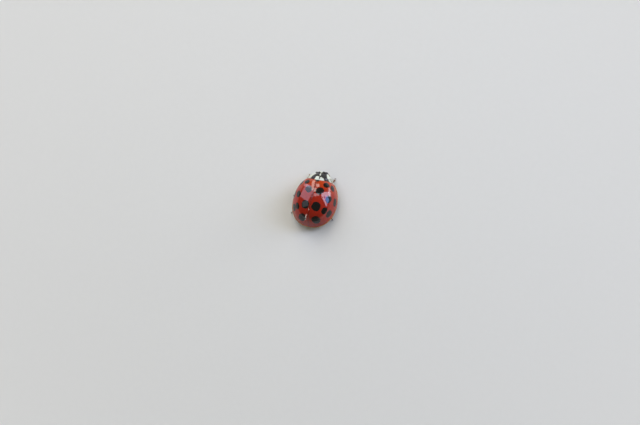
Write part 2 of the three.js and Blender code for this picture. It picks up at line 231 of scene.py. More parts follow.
def ladder(first, second):
    """Triangles between two chains of points with different numbers of steps."""
    faces = []
    i = j = 0
    while i < len(first) - 1 or j < len(second) - 1:
        if (i + 1) / (len(first) - 1) <= (j + 1) / (len(second) - 1):
            faces.append((first[i], first[i + 1], second[j]))
            i += 1
        else:
            faces.append((first[i], second[j + 1], second[j]))
            j += 1
    return faces


def plate(top, bottom, *lips):
    """Two grids of points, one over the other, joined round their rim by way of any lips."""
    rows, columns = top.shape[:2]
    size = rows * columns
    index = np.arange(size).reshape(rows, columns)
    faces = grid_faces(rows, columns)
    faces += [tuple(corner + size for corner in face[::-1]) for face in faces]
    ring = np.concatenate([index[0], index[1:, -1], index[-1, -2::-1], index[-2:0:-1, 0]]).tolist()
    starts = [0, *range(2 * size, (2 + len(lips)) * size, size), size]
    for a, b in zip(ring, ring[1:] + ring[:1]):
        for upper, lower in zip(starts, starts[1:]):
            faces.append((a + upper, b + upper, b + lower, a + lower))
    return np.concatenate([skin.reshape(-1, 3) for skin in (top, bottom, *lips)]), faces


def mirrored(stops, hand):
    """Places given for the left side, on the side of the hand."""
    return np.array(stops) * [hand, 1, 1]


def joined(*parts):
    """Several (points, faces) as one."""
    points, faces = [], []
    for part_points, part_faces in parts:
        start = len(points)
        points.extend(np.asarray(part_points).tolist())
        faces.extend(tuple(index + start for index in face) for face in part_faces)
    return np.array(points), faces


def placed(points):
    """Points in mm from under the crown, as places in the frame's metres."""
    return ((np.asarray(points, float) + CROWN) * MM).tolist()


def add_mark(mesh, mark, values):
    """Keeps a number for each point, which materials and node trees read by name."""
    layer = mesh.attributes.new(mark, "FLOAT", "POINT")
    layer.data.foreach_set("value", np.asarray(values, np.float32))


def linked(name, data):
    """A new object in the scene."""
    made = bpy.data.objects.new(name, data)
    bpy.context.scene.collection.objects.link(made)
    return made


def make_piece(name, shape, material, slot, *nodes):
    """A closed, smooth piece from points, faces and perhaps marks, which stands for the nodes."""
    points, faces, *marks = shape
    mesh = bpy.data.meshes.new(name)
    mesh.from_pydata(placed(points), [], faces)
    for mark, values in (marks[0] if marks else {}).items():
        add_mark(mesh, mark, values)
    work = bmesh.new()
    work.from_mesh(mesh)
    loose = [point for point in work.verts if not point.link_faces]
    bmesh.ops.delete(work, geom=loose, context="VERTS")
    bmesh.ops.remove_doubles(work, verts=work.verts, dist=WELD)
    bmesh.ops.dissolve_degenerate(work, edges=work.edges, dist=SLIVER)
    bmesh.ops.recalc_face_normals(work, faces=work.faces)
    work.to_mesh(mesh)
    work.free()
    mesh.shade_smooth()
    finish_piece(linked(name, mesh), material, slot, *nodes)


def finish_piece(piece, material, slot, *nodes):
    """Paints a piece and lets it ride on the body in place of the nodes."""
    piece.data.materials.clear()
    piece.data.materials.append(material)
    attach(piece, "root")
    if nodes:
        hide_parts(*nodes)


def smooth_step(value, start, end):
    t = np.clip((value - start) / (end - start), 0, 1)
    return t * t * (3 - 2 * t)


def power(value, exponent):
    return np.sign(value) * np.abs(value) ** exponent


def bell(*offsets):
    """1 in the middle and next to nothing 2 widths out, for offsets as shares of a width."""
    return np.exp(-sum(offset ** 2 for offset in offsets))


def rounding(distance, radius):
    """How far a corner of this radius has dropped at a distance from the edge."""
    return radius * (1 - np.sqrt(1 - np.clip(1 - distance / radius, 0, 1) ** 2))


def smooth_path(controls, steps):
    """A Catmull-Rom curve through control points."""
    controls = np.asarray(controls, float)
    ends = np.vstack([2 * controls[0] - controls[1], controls, 2 * controls[-1] - controls[-2]])
    t = np.linspace(0, len(controls) - 1, steps)
    span = np.minimum(t.astype(int), len(controls) - 2)
    f = (t - span)[:, None]
    a, b, c, d = (ends[span + k] for k in range(4))
    return 0.5 * (2 * b + (c - a) * f + (2 * a - 5 * b + 4 * c - d) * f ** 2
                  + (3 * b - a - 3 * c + d) * f ** 3)


def loft(rings):
    """Rings of points joined into a closed skin, with a fan over each end."""
    rings = np.asarray(rings, float)
    count, sides, _ = rings.shape
    points = np.vstack([rings.reshape(-1, 3), rings[0].mean(axis=0), rings[-1].mean(axis=0)])
    faces = grid_faces(count, sides, closed=True)
    start, end, last = count * sides, count * sides + 1, (count - 1) * sides
    for k in range(sides):
        after = (k + 1) % sides
        faces += [(start, after, k), (end, last + k, last + after)]
    return points, faces


def tube(path, across, up, sides, above=(0, 0, 1)):
    """A closed tube along a path; across and up are its half widths at each point."""
    path = np.asarray(path, float)
    along = np.gradient(path, axis=0)
    along /= np.linalg.norm(along, axis=1)[:, None]
    side = np.cross(along, above)
    side /= np.linalg.norm(side, axis=1)[:, None]
    top = np.cross(side, along)
    turn = np.linspace(0, 2 * math.pi, sides, endpoint=False)
    return loft(path[:, None, :]
                + np.cos(turn)[None, :, None] * side[:, None, :] * np.reshape(across, (-1, 1, 1))
                + np.sin(turn)[None, :, None] * top[:, None, :] * np.reshape(up, (-1, 1, 1)))


def ball(sides, rows):
    """A unit ball with its poles in front and behind, as rings of points."""
    lean = np.linspace(0, math.pi, rows + 2)[1:-1][:, None]
    turn = np.linspace(0, 2 * math.pi, sides, endpoint=False)[None, :]
    return np.stack([np.sin(lean) * np.cos(turn), -np.cos(lean) + 0 * turn,
                     np.sin(lean) * np.sin(turn)], axis=-1)


def rounded(t, long, start, end):
    """A 0 to 1 factor that rounds both ends of a limb off over the given lengths."""
    head = np.clip(t * long / start, 0, 1)
    tail = np.clip((1 - t) * long / end, 0, 1)
    return np.sqrt(1 - (1 - head) ** 2) * np.sqrt(1 - (1 - tail) ** 2)


# ------------------------------------------------------------------ materials

class Tree:
    """A node tree being built, with short calls for the common nodes."""

    def __init__(self, tree):
        self.tree = tree

    def add(self, kind, inputs=None, **fields):
        """The outputs of a new node, whose inputs are given as values or as outputs of others."""
        node = self.tree.nodes.new(kind)
        for field, value in fields.items():
            setattr(node, field, value)
        for key, value in (inputs or {}).items():
            socket = node.inputs[key]
            if isinstance(value, bpy.types.NodeSocket):
                self.tree.links.new(value, socket)
            else:
                socket.default_value = (*value, 1) if socket.type == "RGBA" else value
        return node.outputs

    def math(self, operation, *values):
        return self.add("ShaderNodeMath", dict(enumerate(values)), operation=operation)[0]

    def vector(self, operation, *values, **named):
        inputs = {**dict(enumerate(values)), **named}
        return self.add("ShaderNodeVectorMath", inputs, operation=operation)

    def axis(self, place, number):
        return self.add("ShaderNodeSeparateXYZ", {0: place})[number]

    def ramp(self, value, low, high, to_low=0.0, to_high=1.0):
        """Eases a value from one range to another, clamped at both ends."""
        return self.add("ShaderNodeMapRange", {
            "Value": value, "From Min": low, "From Max": high, "To Min": to_low, "To Max": to_high,
        }, interpolation_type="SMOOTHSTEP")[0]

    def mix(self, factor, first, second):
        inputs = {0: factor, 6: first, 7: second}
        return self.add("ShaderNodeMix", inputs, data_type="RGBA")[2]

    def layers(self, base, *layers):
        """Lays colours over a base, each where a value runs from low to high, up to a share."""
        for laid, value, low, high, most in layers:
            base = self.mix(self.ramp(value, low, high, 0, most), base, laid)
        return base

    def seen(self):
        """1 for what the camera sees and 0 for what lights and reflections see."""
        return self.add("ShaderNodeLightPath")["Is Camera Ray"]


class Paint(Tree):
    """A material being built, with patterns on object coordinates in millimetres."""

    def __init__(self, name):
        self.material = bpy.data.materials.new(name)
        self.material.use_nodes = True
        self.material.node_tree.nodes.clear()
        super().__init__(self.material.node_tree)
        place = self.add("ShaderNodeTexCoord")["Object"]
        self.place = self.vector("SCALE", place, Scale=1 / MM)["Vector"]

    def mark(self, name):
        return self.add("ShaderNodeAttribute", attribute_name=name)["Fac"]

    def noise(self, scale, detail=3.0):
        inputs = {"Vector": self.place, "Scale": scale, "Detail": detail}
        return self.add("ShaderNodeTexNoise", inputs)["Fac"]

    def wander(self, scale, reach, detail=3.0):
        """Noise about zero, for edges that wander from side to side."""
        return self.math("MULTIPLY_ADD", self.noise(scale, detail), reach, -reach / 2)

    def cells(self, scale, randomness=1.0):
        """How far a place is from the middle of the nearest of many small cells."""
        inputs = {"Vector": self.place, "Scale": scale, "Randomness": randomness}
        return self.add("ShaderNodeTexVoronoi", inputs)["Distance"]

    def pits(self, scale, size):
        """Small round pits: 0 in a pit and 1 between them."""
        return self.ramp(self.cells(scale), size * 0.4, size)

    def cuticle(self, shade, heights, roughness, coat, coat_roughness, coat_ior=1.5, specular=0.15):
        """Ends in a glossy shell with bumps, each a height, its depth in mm and its strength."""
        normal = {}
        for height, depth, strength in heights:
            inputs = {"Height": height, "Distance": depth * MM, "Strength": strength, **normal}
            normal = {"Normal": self.add("ShaderNodeBump", inputs)[0]}
        return self.finish("ShaderNodeBsdfPrincipled", {
            "Base Color": shade, "Roughness": roughness, "Specular IOR Level": specular,
            "Coat Weight": coat, "Coat Roughness": coat_roughness, "Coat IOR": coat_ior, **normal,
        })

    def finish(self, shader, inputs):
        self.add("ShaderNodeOutputMaterial", {"Surface": self.add(shader, inputs)[0]})
        return self.material


def tinted(base, *tints):
    return tuple(min(1, channel * tint) for channel, tint in zip(base, tints))


DARKER = (0.62, 0.62, 0.62)             # tints, which multiply a colour
CREAMIER = (1.0, 0.9, 0.62)
PALER = (1.5, 1.5, 1.5)
SEAM_BROWN = (0.05, 0.012, 0.006)       # finishes that aren't settings
SCUTELLUM_BROWN = (0.03, 0.012, 0.008)
EDGE_HORN = (0.62, 0.52, 0.3)
HALO_BROWN = (0.3, 0.22, 0.12)
FOREHEAD_CREAM = (0.7, 0.7, 0.58)
HEAD_BROWN = (0.03, 0.022, 0.018)
EYE_BROWN = (0.035, 0.026, 0.03)


def wing_case_material(c):
    """Glossy red with black spots, a tan rim and a fine dark seam."""
    paint = Paint("wing_case")
    broad, fine = paint.noise(0.9), paint.noise(7.0)
    along, seam = paint.axis(paint.place, 1), paint.mark("seam")
    warm = paint.math("MULTIPLY_ADD", broad, 1.6, along)
    wobble = paint.math("ADD", paint.wander(5.0, 0.1), paint.wander(1.6, 0.2))
    edge, spot = (paint.math("ADD", paint.mark(name), wobble) for name in ("edge", "spot"))
    darker = tinted(c.red, *DARKER)
    shell = paint.layers(
        c.red,
        (c.orange, warm, 1.2, -1.3, 1.0),           # warmer in front
        (darker, fine, 0.42, 0.75, 0.45),           # mottled all over
        (darker, seam, 0.42, 0.06, 0.4),            # darker along the seam
        # painted shade: the tail is darkened as if it lay in shadow, turned away from the lights
        (darker, along, 1.9, 3.7, 0.6),
        (c.orange, edge, 0.34, 0.08, 0.5),          # warmer and then tan towards the rim
        (c.rim, edge, 0.12, 0.05, 0.85),
        (darker, spot, 0.06, 0.0, 0.35),            # the spots with their soft edges
        (c.black, spot, 0.012, -0.012, 1.0),
        (SEAM_BROWN, seam, 0.05, 0.015, 0.7),
    )
    heights = (paint.pits(11.0, 0.28), 0.006, 0.22), (broad, 0.05, 0.1)
    rough = paint.ramp(fine, 0.3, 0.8, 0.26, 0.4)
    return paint.cuticle(
        shell, heights, rough, coat=0.5, coat_roughness=0.04, coat_ior=1.9, specular=0.05
    )


def shield_material(c):
    """Glossy ivory with the black M and clear thin edges."""
    paint = Paint("shield")
    mark = paint.math("ADD", paint.mark("spot"), paint.wander(4.5, 0.16))
    shell = paint.layers(
        c.ivory,
        (tinted(c.ivory, *CREAMIER), paint.noise(1.3), 0.4, 0.7, 0.4),
        (EDGE_HORN, paint.mark("edge"), 0.14, 0.03, 0.45),
        (HALO_BROWN, mark, 0.09, 0.0, 0.5),
        (c.black, mark, 0.014, -0.014, 1.0),
    )
    heights = (paint.pits(13.0, 0.3), 0.005, 0.25), (paint.noise(9.0), 0.01, 0.08)
    return paint.cuticle(shell, heights, roughness=0.3, coat=0.5, coat_roughness=0.05)


def shell_material(name, base, deep, pit_scale=9.0, pit_strength=0.4, roughness=0.35, coat=0.5,
                   dark_half=None):
    """Pitted cuticle that runs between two browns, darker at the joints or along the middle."""
    paint = Paint(name)
    broad, fine = paint.noise(2.2, 4.0), paint.noise(14.0)
    mottle = paint.math("MULTIPLY_ADD", fine, 0.35, broad)
    blend = paint.ramp(mottle, 0.5, 0.85, 0, 0.3 if dark_half else 1.0)
    if dark_half:
        across = paint.math("SUBTRACT", paint.axis(paint.place, 0), float(CROWN[0]))
        edge = paint.math("MULTIPLY_ADD", broad, 0.6, paint.math("ABSOLUTE", across))
        middle_band = paint.ramp(edge, 1.2 * dark_half, 0.8 * dark_half)
        blend = paint.math("MAXIMUM", middle_band, blend)
    shell = paint.layers(paint.mix(blend, base, deep), (deep, paint.mark("joint"), 0.0, 1.0, 0.75))
    heights = (paint.pits(pit_scale, 0.32), 0.008, pit_strength), (fine, 0.01, 0.2)
    rough = paint.ramp(fine, 0.3, 0.8, roughness - 0.07, roughness + 0.1)
    return paint.cuticle(shell, heights, rough, coat, coat_roughness=0.15)


def head_material(c):
    """Black with a cream patch on the forehead."""
    paint = Paint("head_shell")
    fine = paint.noise(12.0)
    patch = paint.math("ADD", paint.mark("spot"), paint.wander(6.0, 0.1, 2.0))
    cream = paint.layers(c.ivory, (FOREHEAD_CREAM, fine, 0.3, 0.7, 1.0))
    black = paint.layers(c.black, (HEAD_BROWN, fine, 0.4, 0.8, 1.0))
    shell = paint.layers(black, (cream, patch, 0.015, -0.015, 1.0))
    heights = [(paint.pits(14.0, 0.3), 0.006, 0.35)]
    return paint.cuticle(shell, heights, roughness=0.32, coat=0.6, coat_roughness=0.12)


def eye_material(c):
    """A black compound eye of fine, closely packed facets."""
    paint = Paint("eye")
    shade = paint.mix(paint.noise(6.0, 2.0), c.black, EYE_BROWN)
    heights = [(paint.ramp(paint.cells(38.0, 0.25), 0.55, 0.1), 0.006, 0.5)]
    return paint.cuticle(shade, heights, roughness=0.22, coat=0.8, coat_roughness=0.1)


def hair_material(c):
    paint = Paint("hair")
    shade = paint.mix(paint.noise(9.0, 2.0), c.tan, tinted(c.tan, *PALER))
    return paint.finish("ShaderNodeBsdfPrincipled", {"Base Color": shade, "Roughness": 0.5})


# ------------------------------------------------------------------ wing cases

# The spots of one wing case: out from the seam and along from the crown, then the half
# length, the half width, the turn of the long side from straight out, and how much more the
# half sizes are on the right, in mm and degrees.
SPOTS = (
    (1.25, -1.95, 0.40, 0.34, 135, 0.03),
    (1.96, -1.86, 0.44, 0.33, 114, 0.02),
    (0.70, -0.90, 0.48, 0.43, 140, 0.03),
    (1.93, -0.20, 0.47, 0.36, 128, 0.03),
    (2.58, -0.22, 0.48, 0.38, 90, 0.02),
    (0.70, 1.12, 0.54, 0.49, 95, 0.04),
    (1.73, 1.35, 0.44, 0.34, 98, 0.02),
    (2.24, 1.43, 0.47, 0.43, 105, 0.03),
    (0.90, 2.60, 0.58, 0.48, 30, 0.02),
)
SHIELD_SPOT = (0.0, -2.3, 0.26, 0.2, 0, 0)
SPOT_SQUARENESS = 2.4           # 2 makes a spot an ellipse, and more makes it squarer
SPOT_SHIFT = -0.05              # this animal's spots sit a little to its right

CORNER_POWER = 36               # more makes a sharper corner where the base meets the rim
SEAM_GAP = 0.003                # half of the gap between the two wing cases
BASE_ROUND, SEAM_ROUND = 0.10, 0.022    # radii of the front edge and of the edge at the seam
FRONT_LIP, FRONT_TUCK = 0.04, 0.04      # depth of the front edge, and how far it turns in

# The low swelling on each shoulder, as across, along, its half sizes and its height, and the
# tail's ridge and the hollow before it, as shares of the way out, half width and height.
SHOULDER = (1.7, -1.75, 0.35, 0.3, 0.05)
TAIL_RIDGES = (0.90, 0.035, 0.035), (0.82, 0.05, -0.03)
TAIL_FROM, TAIL_FULL = 1.6, 2.6         # where along the back the ridge begins and is full

# Points of a wing case's mesh: round the oval, from the crown to the rim, over the last share
# of that way, which is its edge, and back up the inside.
COLUMNS, ROWS, EDGE_ROWS, INNER_ROWS = 118, 62, 9, 9
EDGE_SHARE = 0.025
SEAM_CROWDING, CORNER_CROWDING = 1.3, 7.0       # how much closer the columns are there
CORNER_SPREAD = 0.09                            # how far from the corner, in radians
SEAM_COLUMNS = (0.0006, 0.0015, 0.003)          # extra ones, as shares of half a turn


def outline(angle, s):
    """Where the oval of the side rim lies, by the angle from straight ahead."""
    dx, dy = np.sin(angle), -np.cos(angle)
    reach = np.where(dy > 0, s.rear_reach, s.front_reach)
    return HALF_WIDTH * power(dx, 2 / s.oval_power), reach * power(dy, 2 / s.oval_power)


def rim_z(y, s):
    return s.rim_height + s.rim_arch * (y / s.rear_reach) ** 2


def dome_height(x, y, s):
    """How high the arched back lies over a place on the floor."""
    reach = np.where(y > 0, s.rear_reach, s.front_reach)
    out = (np.abs(x) / HALF_WIDTH) ** s.oval_power + (np.abs(y) / reach) ** s.oval_power
    out = np.minimum(out ** (1 / s.oval_power) / (1 - s.flange), 1)
    up = (1 - out ** s.arch_out) ** (1 / s.arch_up)
    return rim_z(y, s) + up * (CROWN_TOP - s.rim_height)


def side_profile(s):
    """The arch from the crown to the edge of the flat rim: reach, height and length so far."""
    turn = np.linspace(0, math.pi / 2, 400)
    out = np.sin(turn) ** (2 / s.arch_out) * (1 - s.flange)
    up = np.cos(turn) ** (2 / s.arch_up) * (CROWN_TOP - s.rim_height)
    arch = up > 3.5 * s.flange_drop
    t = np.linspace(0, 1, 60)[1:]
    bend = [
        (1 - t) ** 2 * first + 2 * t * (1 - t) * corner + t ** 2 * last
        for first, corner, last in (
            (out[arch][-1], 1 - 0.9 * s.flange, 1),
            (up[arch][-1], -0.2 * s.flange_drop, -s.flange_drop),
        )
    ]
    out, up = np.append(out[arch], bend[0]), np.append(up[arch], bend[1])
    step = np.hypot(np.diff(out) * HALF_WIDTH, np.diff(up))
    return out, up, np.append(0, np.cumsum(step))


def base_bow(x, s):
    """How much further forward than at the seam the front edge of the wing cases reaches."""
    return s.base_arch * (x / SHIELD_REAR_HALF) ** 2


def base_reach(x, y, s):
    """How far along the way out to (x, y) the front edge of the wing cases is met."""
    square = y * y - 4 * base_bow(x, s) * s.base_back
    met = (y < 0) & (square > 0)
    root = np.sqrt(np.where(met, square, 1))
    return np.where(met, 2 * s.base_back / (root - np.minimum(y, 0)), NEVER)


def spot_distance(points, spots, s, hand):
    """How far each point lies outside the nearest spot, in mm, and less than 0 inside one."""
    def on_dome(x, y):
        return np.array([x, y, dome_height(x, y, s)])

    nearest = np.full(len(points), NEVER)
    step = 0.02
    for out, along, half_length, half_width, turn, more in spots:
        x = hand * out + SPOT_SHIFT
        if hand < 0:
            half_length, half_width = half_length + more, half_width + more
        ahead_x = on_dome(x + step, along) - on_dome(x - step, along)
        ahead_y = on_dome(x, along + step) - on_dome(x, along - step)
        out_way = hand * ahead_x / np.linalg.norm(ahead_x)
        back_way = np.cross(np.cross(ahead_x, ahead_y), ahead_x)
        back_way /= np.linalg.norm(back_way)
        cos, sin = math.cos(math.radians(turn)), math.sin(math.radians(turn))
        offset = points - on_dome(x, along)
        long = np.abs(offset @ (cos * out_way + sin * back_way) / half_length)
        short = np.abs(offset @ (-sin * out_way + cos * back_way) / half_width)
        reach = (long ** SPOT_SQUARENESS + short ** SPOT_SQUARENESS) ** (1 / SPOT_SQUARENESS)
        nearest = np.minimum(nearest, (reach - 1) * (half_length + half_width) / 2)
    return nearest


def wing_case_columns(s):
    """Angles round the oval, closer together at the seam and where the base meets the rim."""
    angle = np.linspace(0, math.pi, 2000)
    corner = angle[np.argmax(base_reach(*outline(angle, s), s) > 1)]
    crowding = 1 + SEAM_CROWDING * np.cos(angle) ** 4
    crowding += CORNER_CROWDING * bell((angle - corner) / CORNER_SPREAD)
    total = np.append(0, np.cumsum(crowding[1:]))
    columns = np.interp(np.linspace(0, 1, COLUMNS), total / total[-1], angle)
    fine = math.pi * np.array(SEAM_COLUMNS)
    return np.unique(np.concatenate([columns, fine, math.pi - fine]))


def wing_case(hand, s):
    """One wing case as points, faces and marks: a shell with a turned-in edge under its rim."""
    angle = wing_case_columns(s)
    rows = np.unique(np.concatenate([
        (1 - EDGE_SHARE) * np.linspace(0, 1, ROWS),
        1 - EDGE_SHARE * np.linspace(0, 1, EDGE_ROWS) ** 2,
    ]))
    reach_table, rise_table, run_table = side_profile(s)

    def arch(run):
        return np.interp(run, run_table, reach_table), np.interp(run, run_table, rise_table)

    # Each column stops at the side rim, where full is 1, or at the front edge, where it is 0.
    ex, ey = outline(angle, s)
    met = base_reach(ex, ey, s)
    stop = (1 + met ** -CORNER_POWER) ** (-1 / CORNER_POWER)
    full = smooth_step(met, 0.955, 1.0)
    end_run = np.interp(stop, reach_table, run_table)
    run = rows[:, None] * end_run[None, :]
    reach, rise = arch(run)
    x, y = ex * reach, ey * reach

    # The rounded front edge, the rounded seam, the shoulder swelling and the low tail ridge.
    z = rim_z(y, s) + rise
    z -= rounding(y + s.base_back + base_bow(x, s), BASE_ROUND)
    z -= rounding(x, SEAM_ROUND)
    across, along, half_across, half_along, height = SHOULDER
    z += height * bell((x - across) / half_across, (y - along) / half_along)
    tail = smooth_step(y, TAIL_FROM, TAIL_FULL) * rise / (rise + 0.2)
    for out, half, height in TAIL_RIDGES:
        z += height * tail * bell((reach - out) / half)

    # The edge turns in under the rim, by so much inward and down, and further down in front.
    grid = [np.stack([x, y, z], axis=-1)]
    width = np.hypot(ex, ey)
    front_edge = (1 - full) * smooth_step(rise[-1], 0.1, 0.5)
    for inward, drop, front_drop in (
        (0.0, 0.03, FRONT_LIP), (0.012, 0.06, FRONT_LIP), (s.under_edge, 0.03, s.thickness),
    ):
        tuck = min(inward, FRONT_TUCK)
        share_in = stop * (1 - full * inward / width - (1 - full) * tuck / width)
        deep = drop + front_edge * front_drop
        grid.append(np.stack([ex * share_in, ey * share_in, z[-1] - deep], axis=-1)[None])

    # From there the inside follows the arch back to the crown.
    for step in np.linspace(1, 0, INNER_ROWS)[1:]:
        in_reach, in_rise = arch(end_run * step)
        in_reach = in_reach * (1 - 1.3 * s.thickness / HALF_WIDTH)
        height = rim_z(ey * in_reach, s) + np.maximum(in_rise - s.thickness, 0.0)
        grid.append(np.stack([ex * in_reach, ey * in_reach, height], axis=-1)[None])
    grid = np.concatenate(grid)
    index = np.arange(grid[..., 0].size).reshape(grid.shape[:2])
    faces = grid_faces(*grid.shape[:2])
    for column in (index[:, 0].tolist(), index[:, -1].tolist()):
        faces += ladder(column[:len(rows)], column[:len(rows) - 1:-1])
    points = grid.reshape(-1, 3)
    points[:, 0] = np.maximum(points[:, 0], 0) * (1 - SEAM_GAP / HALF_WIDTH) + SEAM_GAP
    points[:, 0] *= hand

    skin = points[:x.size]
    spot = np.minimum(spot_distance(skin, SPOTS, s, hand), spot_distance(skin, [SHIELD_SPOT], s, 1))
    hidden = np.full(len(points) - x.size, NEVER)
    edge = (end_run - run) + 0.6 * (1 - full)
    return points, faces, {
        "spot": np.append(spot, hidden),
        "edge": np.append(edge.ravel(), 0 * hidden),
        "seam": np.append(x.ravel(), hidden),
    }


class MakeWingCases(bpy.types.Operator):
    """Makes the two domed wing cases with their spots"""

    bl_idname = "ladybird.wing_cases"
    bl_label = "Wing cases"

    def execute(self, context):
        material = wing_case_material(settings("colours"))
        for hand, sign in HANDS.items():
            shape = wing_case(sign, settings("wing_case"))
            make_piece(f"wing_case_{hand}", shape, material, "wing_case_red", f"elytron_{hand}")
        return {"FINISHED"}


# ------------------------------------------------------------------ shield and scutellum

# The bands of the black M on the shield: points of each band's middle line, as across (the
# left side is positive), along and half width, in mm.
M_BANDS = (
    ((0.28, -3.66, 0.30), (0.26, -3.28, 0.29), (0.51, -2.99, 0.22), (0.66, -2.6, 0.29)),
    ((-0.44, -3.7, 0.31), (-0.50, -3.35, 0.34), (-0.83, -2.98, 0.22), (-1.12, -2.58, 0.26)),
    ((0.25, -3.12, 0.12), (-0.16, -3.04, 0.10), (-0.55, -3.03, 0.15)),
    ((-0.16, -3.0, 0.10), (-0.19, -2.82, 0.045), (-0.19, -2.6, 0.02)),
    ((-1.40, -3.14, 0.03), (-1.46, -3.06, 0.02)),
)
SHIELD_MIDDLE = np.array([0, -3.0, 0])
SHIELD_EDGE_ROUND = 0.06
REAR_CORNERS = 0.09             # how far the rear corners are drawn in
BRIM_WIDTH, BRIM_RISE = 0.06, 0.025     # of the narrow flat brim along each side
LIP_GROWTH = np.array([0.003, 0.004, 0])        # how far the edge stands out, as shares
SHIELD_EDGE_ROWS = (0.006, 0.012, 0.988, 0.994) # extra rows at the rear and the front edge

# How deep the scutellum's edge is sunk in the wing cases, how far it swells and how thick it is.
SCUTELLUM_SINK, SCUTELLUM_RISE, SCUTELLUM_DEPTH = 0.03, 0.045, 0.12


def band_distance(x, y, path):
    """How far each place lies outside a band of changing half width along a path."""
    nearest = np.full(np.shape(x), NEVER)
    for (ax, ay, ar), (bx, by, br) in zip(path, path[1:]):
        dx, dy = bx - ax, by - ay
        t = np.clip(((x - ax) * dx + (y - ay) * dy) / (dx ** 2 + dy ** 2), 0, 1)
        away = np.hypot(x - ax - t * dx, y - ay - t * dy) - (ar + t * (br - ar))
        nearest = np.minimum(nearest, away)
    return nearest


def shield_point(u, v, s, w):
    """The top of the shield: u runs across from -1 to 1 and v from the rear (0) to the front."""
    # The sides narrow forwards, and the rear corners are drawn in.
    half = s.rear_half - REAR_CORNERS * np.maximum(0, 1 - v / 0.2) ** 2
    half = half - (s.rear_half - s.front_half) * v ** s.narrowing
    x = half * u - s.front_shift * v
    # The rear edge follows the wing cases, and the front edge runs forwards to its corners.
    rear = -w.base_back - w.base_arch * u ** 2
    front = -s.front_reach - s.corner_reach * u ** 4 + s.front_tilt * u
    y = rear + (front - rear) * v
    # The plate bows from side to side, and near its rear it hugs the arch of the wing cases.
    ridge = s.rear_ridge + (s.front_ridge - s.rear_ridge) * v ** 1.5
    bow = (1 - np.abs(u) ** 2.2) ** 0.62
    edge = s.rear_edge + (s.front_edge - s.rear_edge) * v
    z = w.rim_height + edge + (ridge - edge) * bow
    hug = (1 - smooth_step(v, 0, 0.4)) * (1 - 0.7 * smooth_step(np.abs(u), 0.84, 1))
    return np.stack([x, y, z + hug * (dome_height(x, y, w) - z)], axis=-1)


def shield(s, w):
    """The shield as points, faces and marks: a curved plate with rounded edges and side brims."""
    turn = np.linspace(-math.pi / 2, math.pi / 2, 121)
    v = np.unique(np.append(np.linspace(0, 1, 57), SHIELD_EDGE_ROWS))
    u, v = np.meshgrid(0.6 * np.sin(turn) + 0.4 * turn / (math.pi / 2), v)
    from_side = 1 - np.abs(u)
    from_edge = np.minimum(from_side * s.rear_half, np.minimum(v, 1 - v) * 1.2)
    top = shield_point(u, v, s, w)
    top[..., 2] -= rounding(from_edge, SHIELD_EDGE_ROUND)
    brim = bell(from_side / BRIM_WIDTH) * smooth_step(v, 0, 0.2)
    top[..., 2] += BRIM_RISE * brim
    bottom = shield_point(u * 0.985, 0.01 + 0.98 * v, s, w)
    bottom[..., 2] -= s.thickness * np.sqrt(np.clip(from_edge / 0.12 + 0.15, 0, 1))
    lip = (top + bottom) / 2
    lip = lip + (lip - SHIELD_MIDDLE) * LIP_GROWTH
    points, faces = plate(top, bottom, lip)
    mark = np.min([band_distance(top[..., 0], top[..., 1], band) for band in M_BANDS], axis=0)
    return points, faces, {
        "spot": np.tile(mark.ravel(), 3),
        "edge": np.tile((from_side * s.rear_half).ravel(), 3),
    }


def scutellum(w):
    """A small rounded triangle that lies on the front end of the seam."""
    low, high = node_box("scutellum")
    across, along = np.meshgrid(np.linspace(-1, 1, 17), np.linspace(0, 1, 13))
    x = across * high[0] * (1 - along ** 1.25)
    y = low[1] + along * (high[1] - low[1])
    crown = (1 - across ** 2) * np.sqrt(np.clip(1 - along, 0, 1)) * np.clip(along * 6 + 0.3, 0, 1)
    z = dome_height(x, y, w) - SCUTELLUM_SINK + SCUTELLUM_RISE * crown
    top = np.stack([x, y, z], axis=-1)
    return plate(top, top - [0, 0, SCUTELLUM_DEPTH])


class MakeShield(bpy.types.Operator):
    """Makes the shield behind the head and the small plate between the wing cases"""

    bl_idname = "ladybird.shield"
    bl_label = "Shield and scutellum"

    def execute(self, context):
        s, w, c = (settings(group) for group in ("shield", "wing_case", "colours"))
        make_piece("shield", shield(s, w), shield_material(c), "shield_ivory", "pronotum")
        black = shell_material("scutellum_shell", c.black, SCUTELLUM_BROWN, coat=0.8)
        make_piece("scutellum_plate", scutellum(w), black, "scutellum_black", "scutellum")
        return {"FINISHED"}


# ------------------------------------------------------------------ growing with Geometry Nodes

class Grower(Tree):
    """A Geometry Nodes tree being built: one small shape on many points, real and painted."""

    def __init__(self, name, **inputs):
        super().__init__(bpy.data.node_groups.new(name, "GeometryNodeTree"))
        face = self.tree.interface
        for label, kind in {"Geometry": "Geometry", **inputs, "Material": "Material"}.items():
            face.new_socket(label, in_out="INPUT", socket_type="NodeSocket" + kind)
        face.new_socket("Geometry", in_out="OUTPUT", socket_type="NodeSocketGeometry")
        self.given = self.add("NodeGroupInput")
        self.place = self.add("GeometryNodeInputPosition")[0]

    def combined(self, x, y, z):
        return self.add("ShaderNodeCombineXYZ", {"X": x, "Y": y, "Z": z})[0]

    def finish(self, points, shape, turn, size):
        """Ends in the shape on every point, as real geometry with the material."""
        inputs = {"Points": points, "Instance": shape, "Rotation": turn, "Scale": size}
        planted = self.add("GeometryNodeInstanceOnPoints", inputs)[0]
        real = self.add("GeometryNodeRealizeInstances", {0: planted})[0]
        inputs = {"Geometry": real, "Material": self.given["Material"]}
        self.add("NodeGroupOutput", {0: self.add("GeometryNodeSetMaterial", inputs)[0]})
        return self.tree


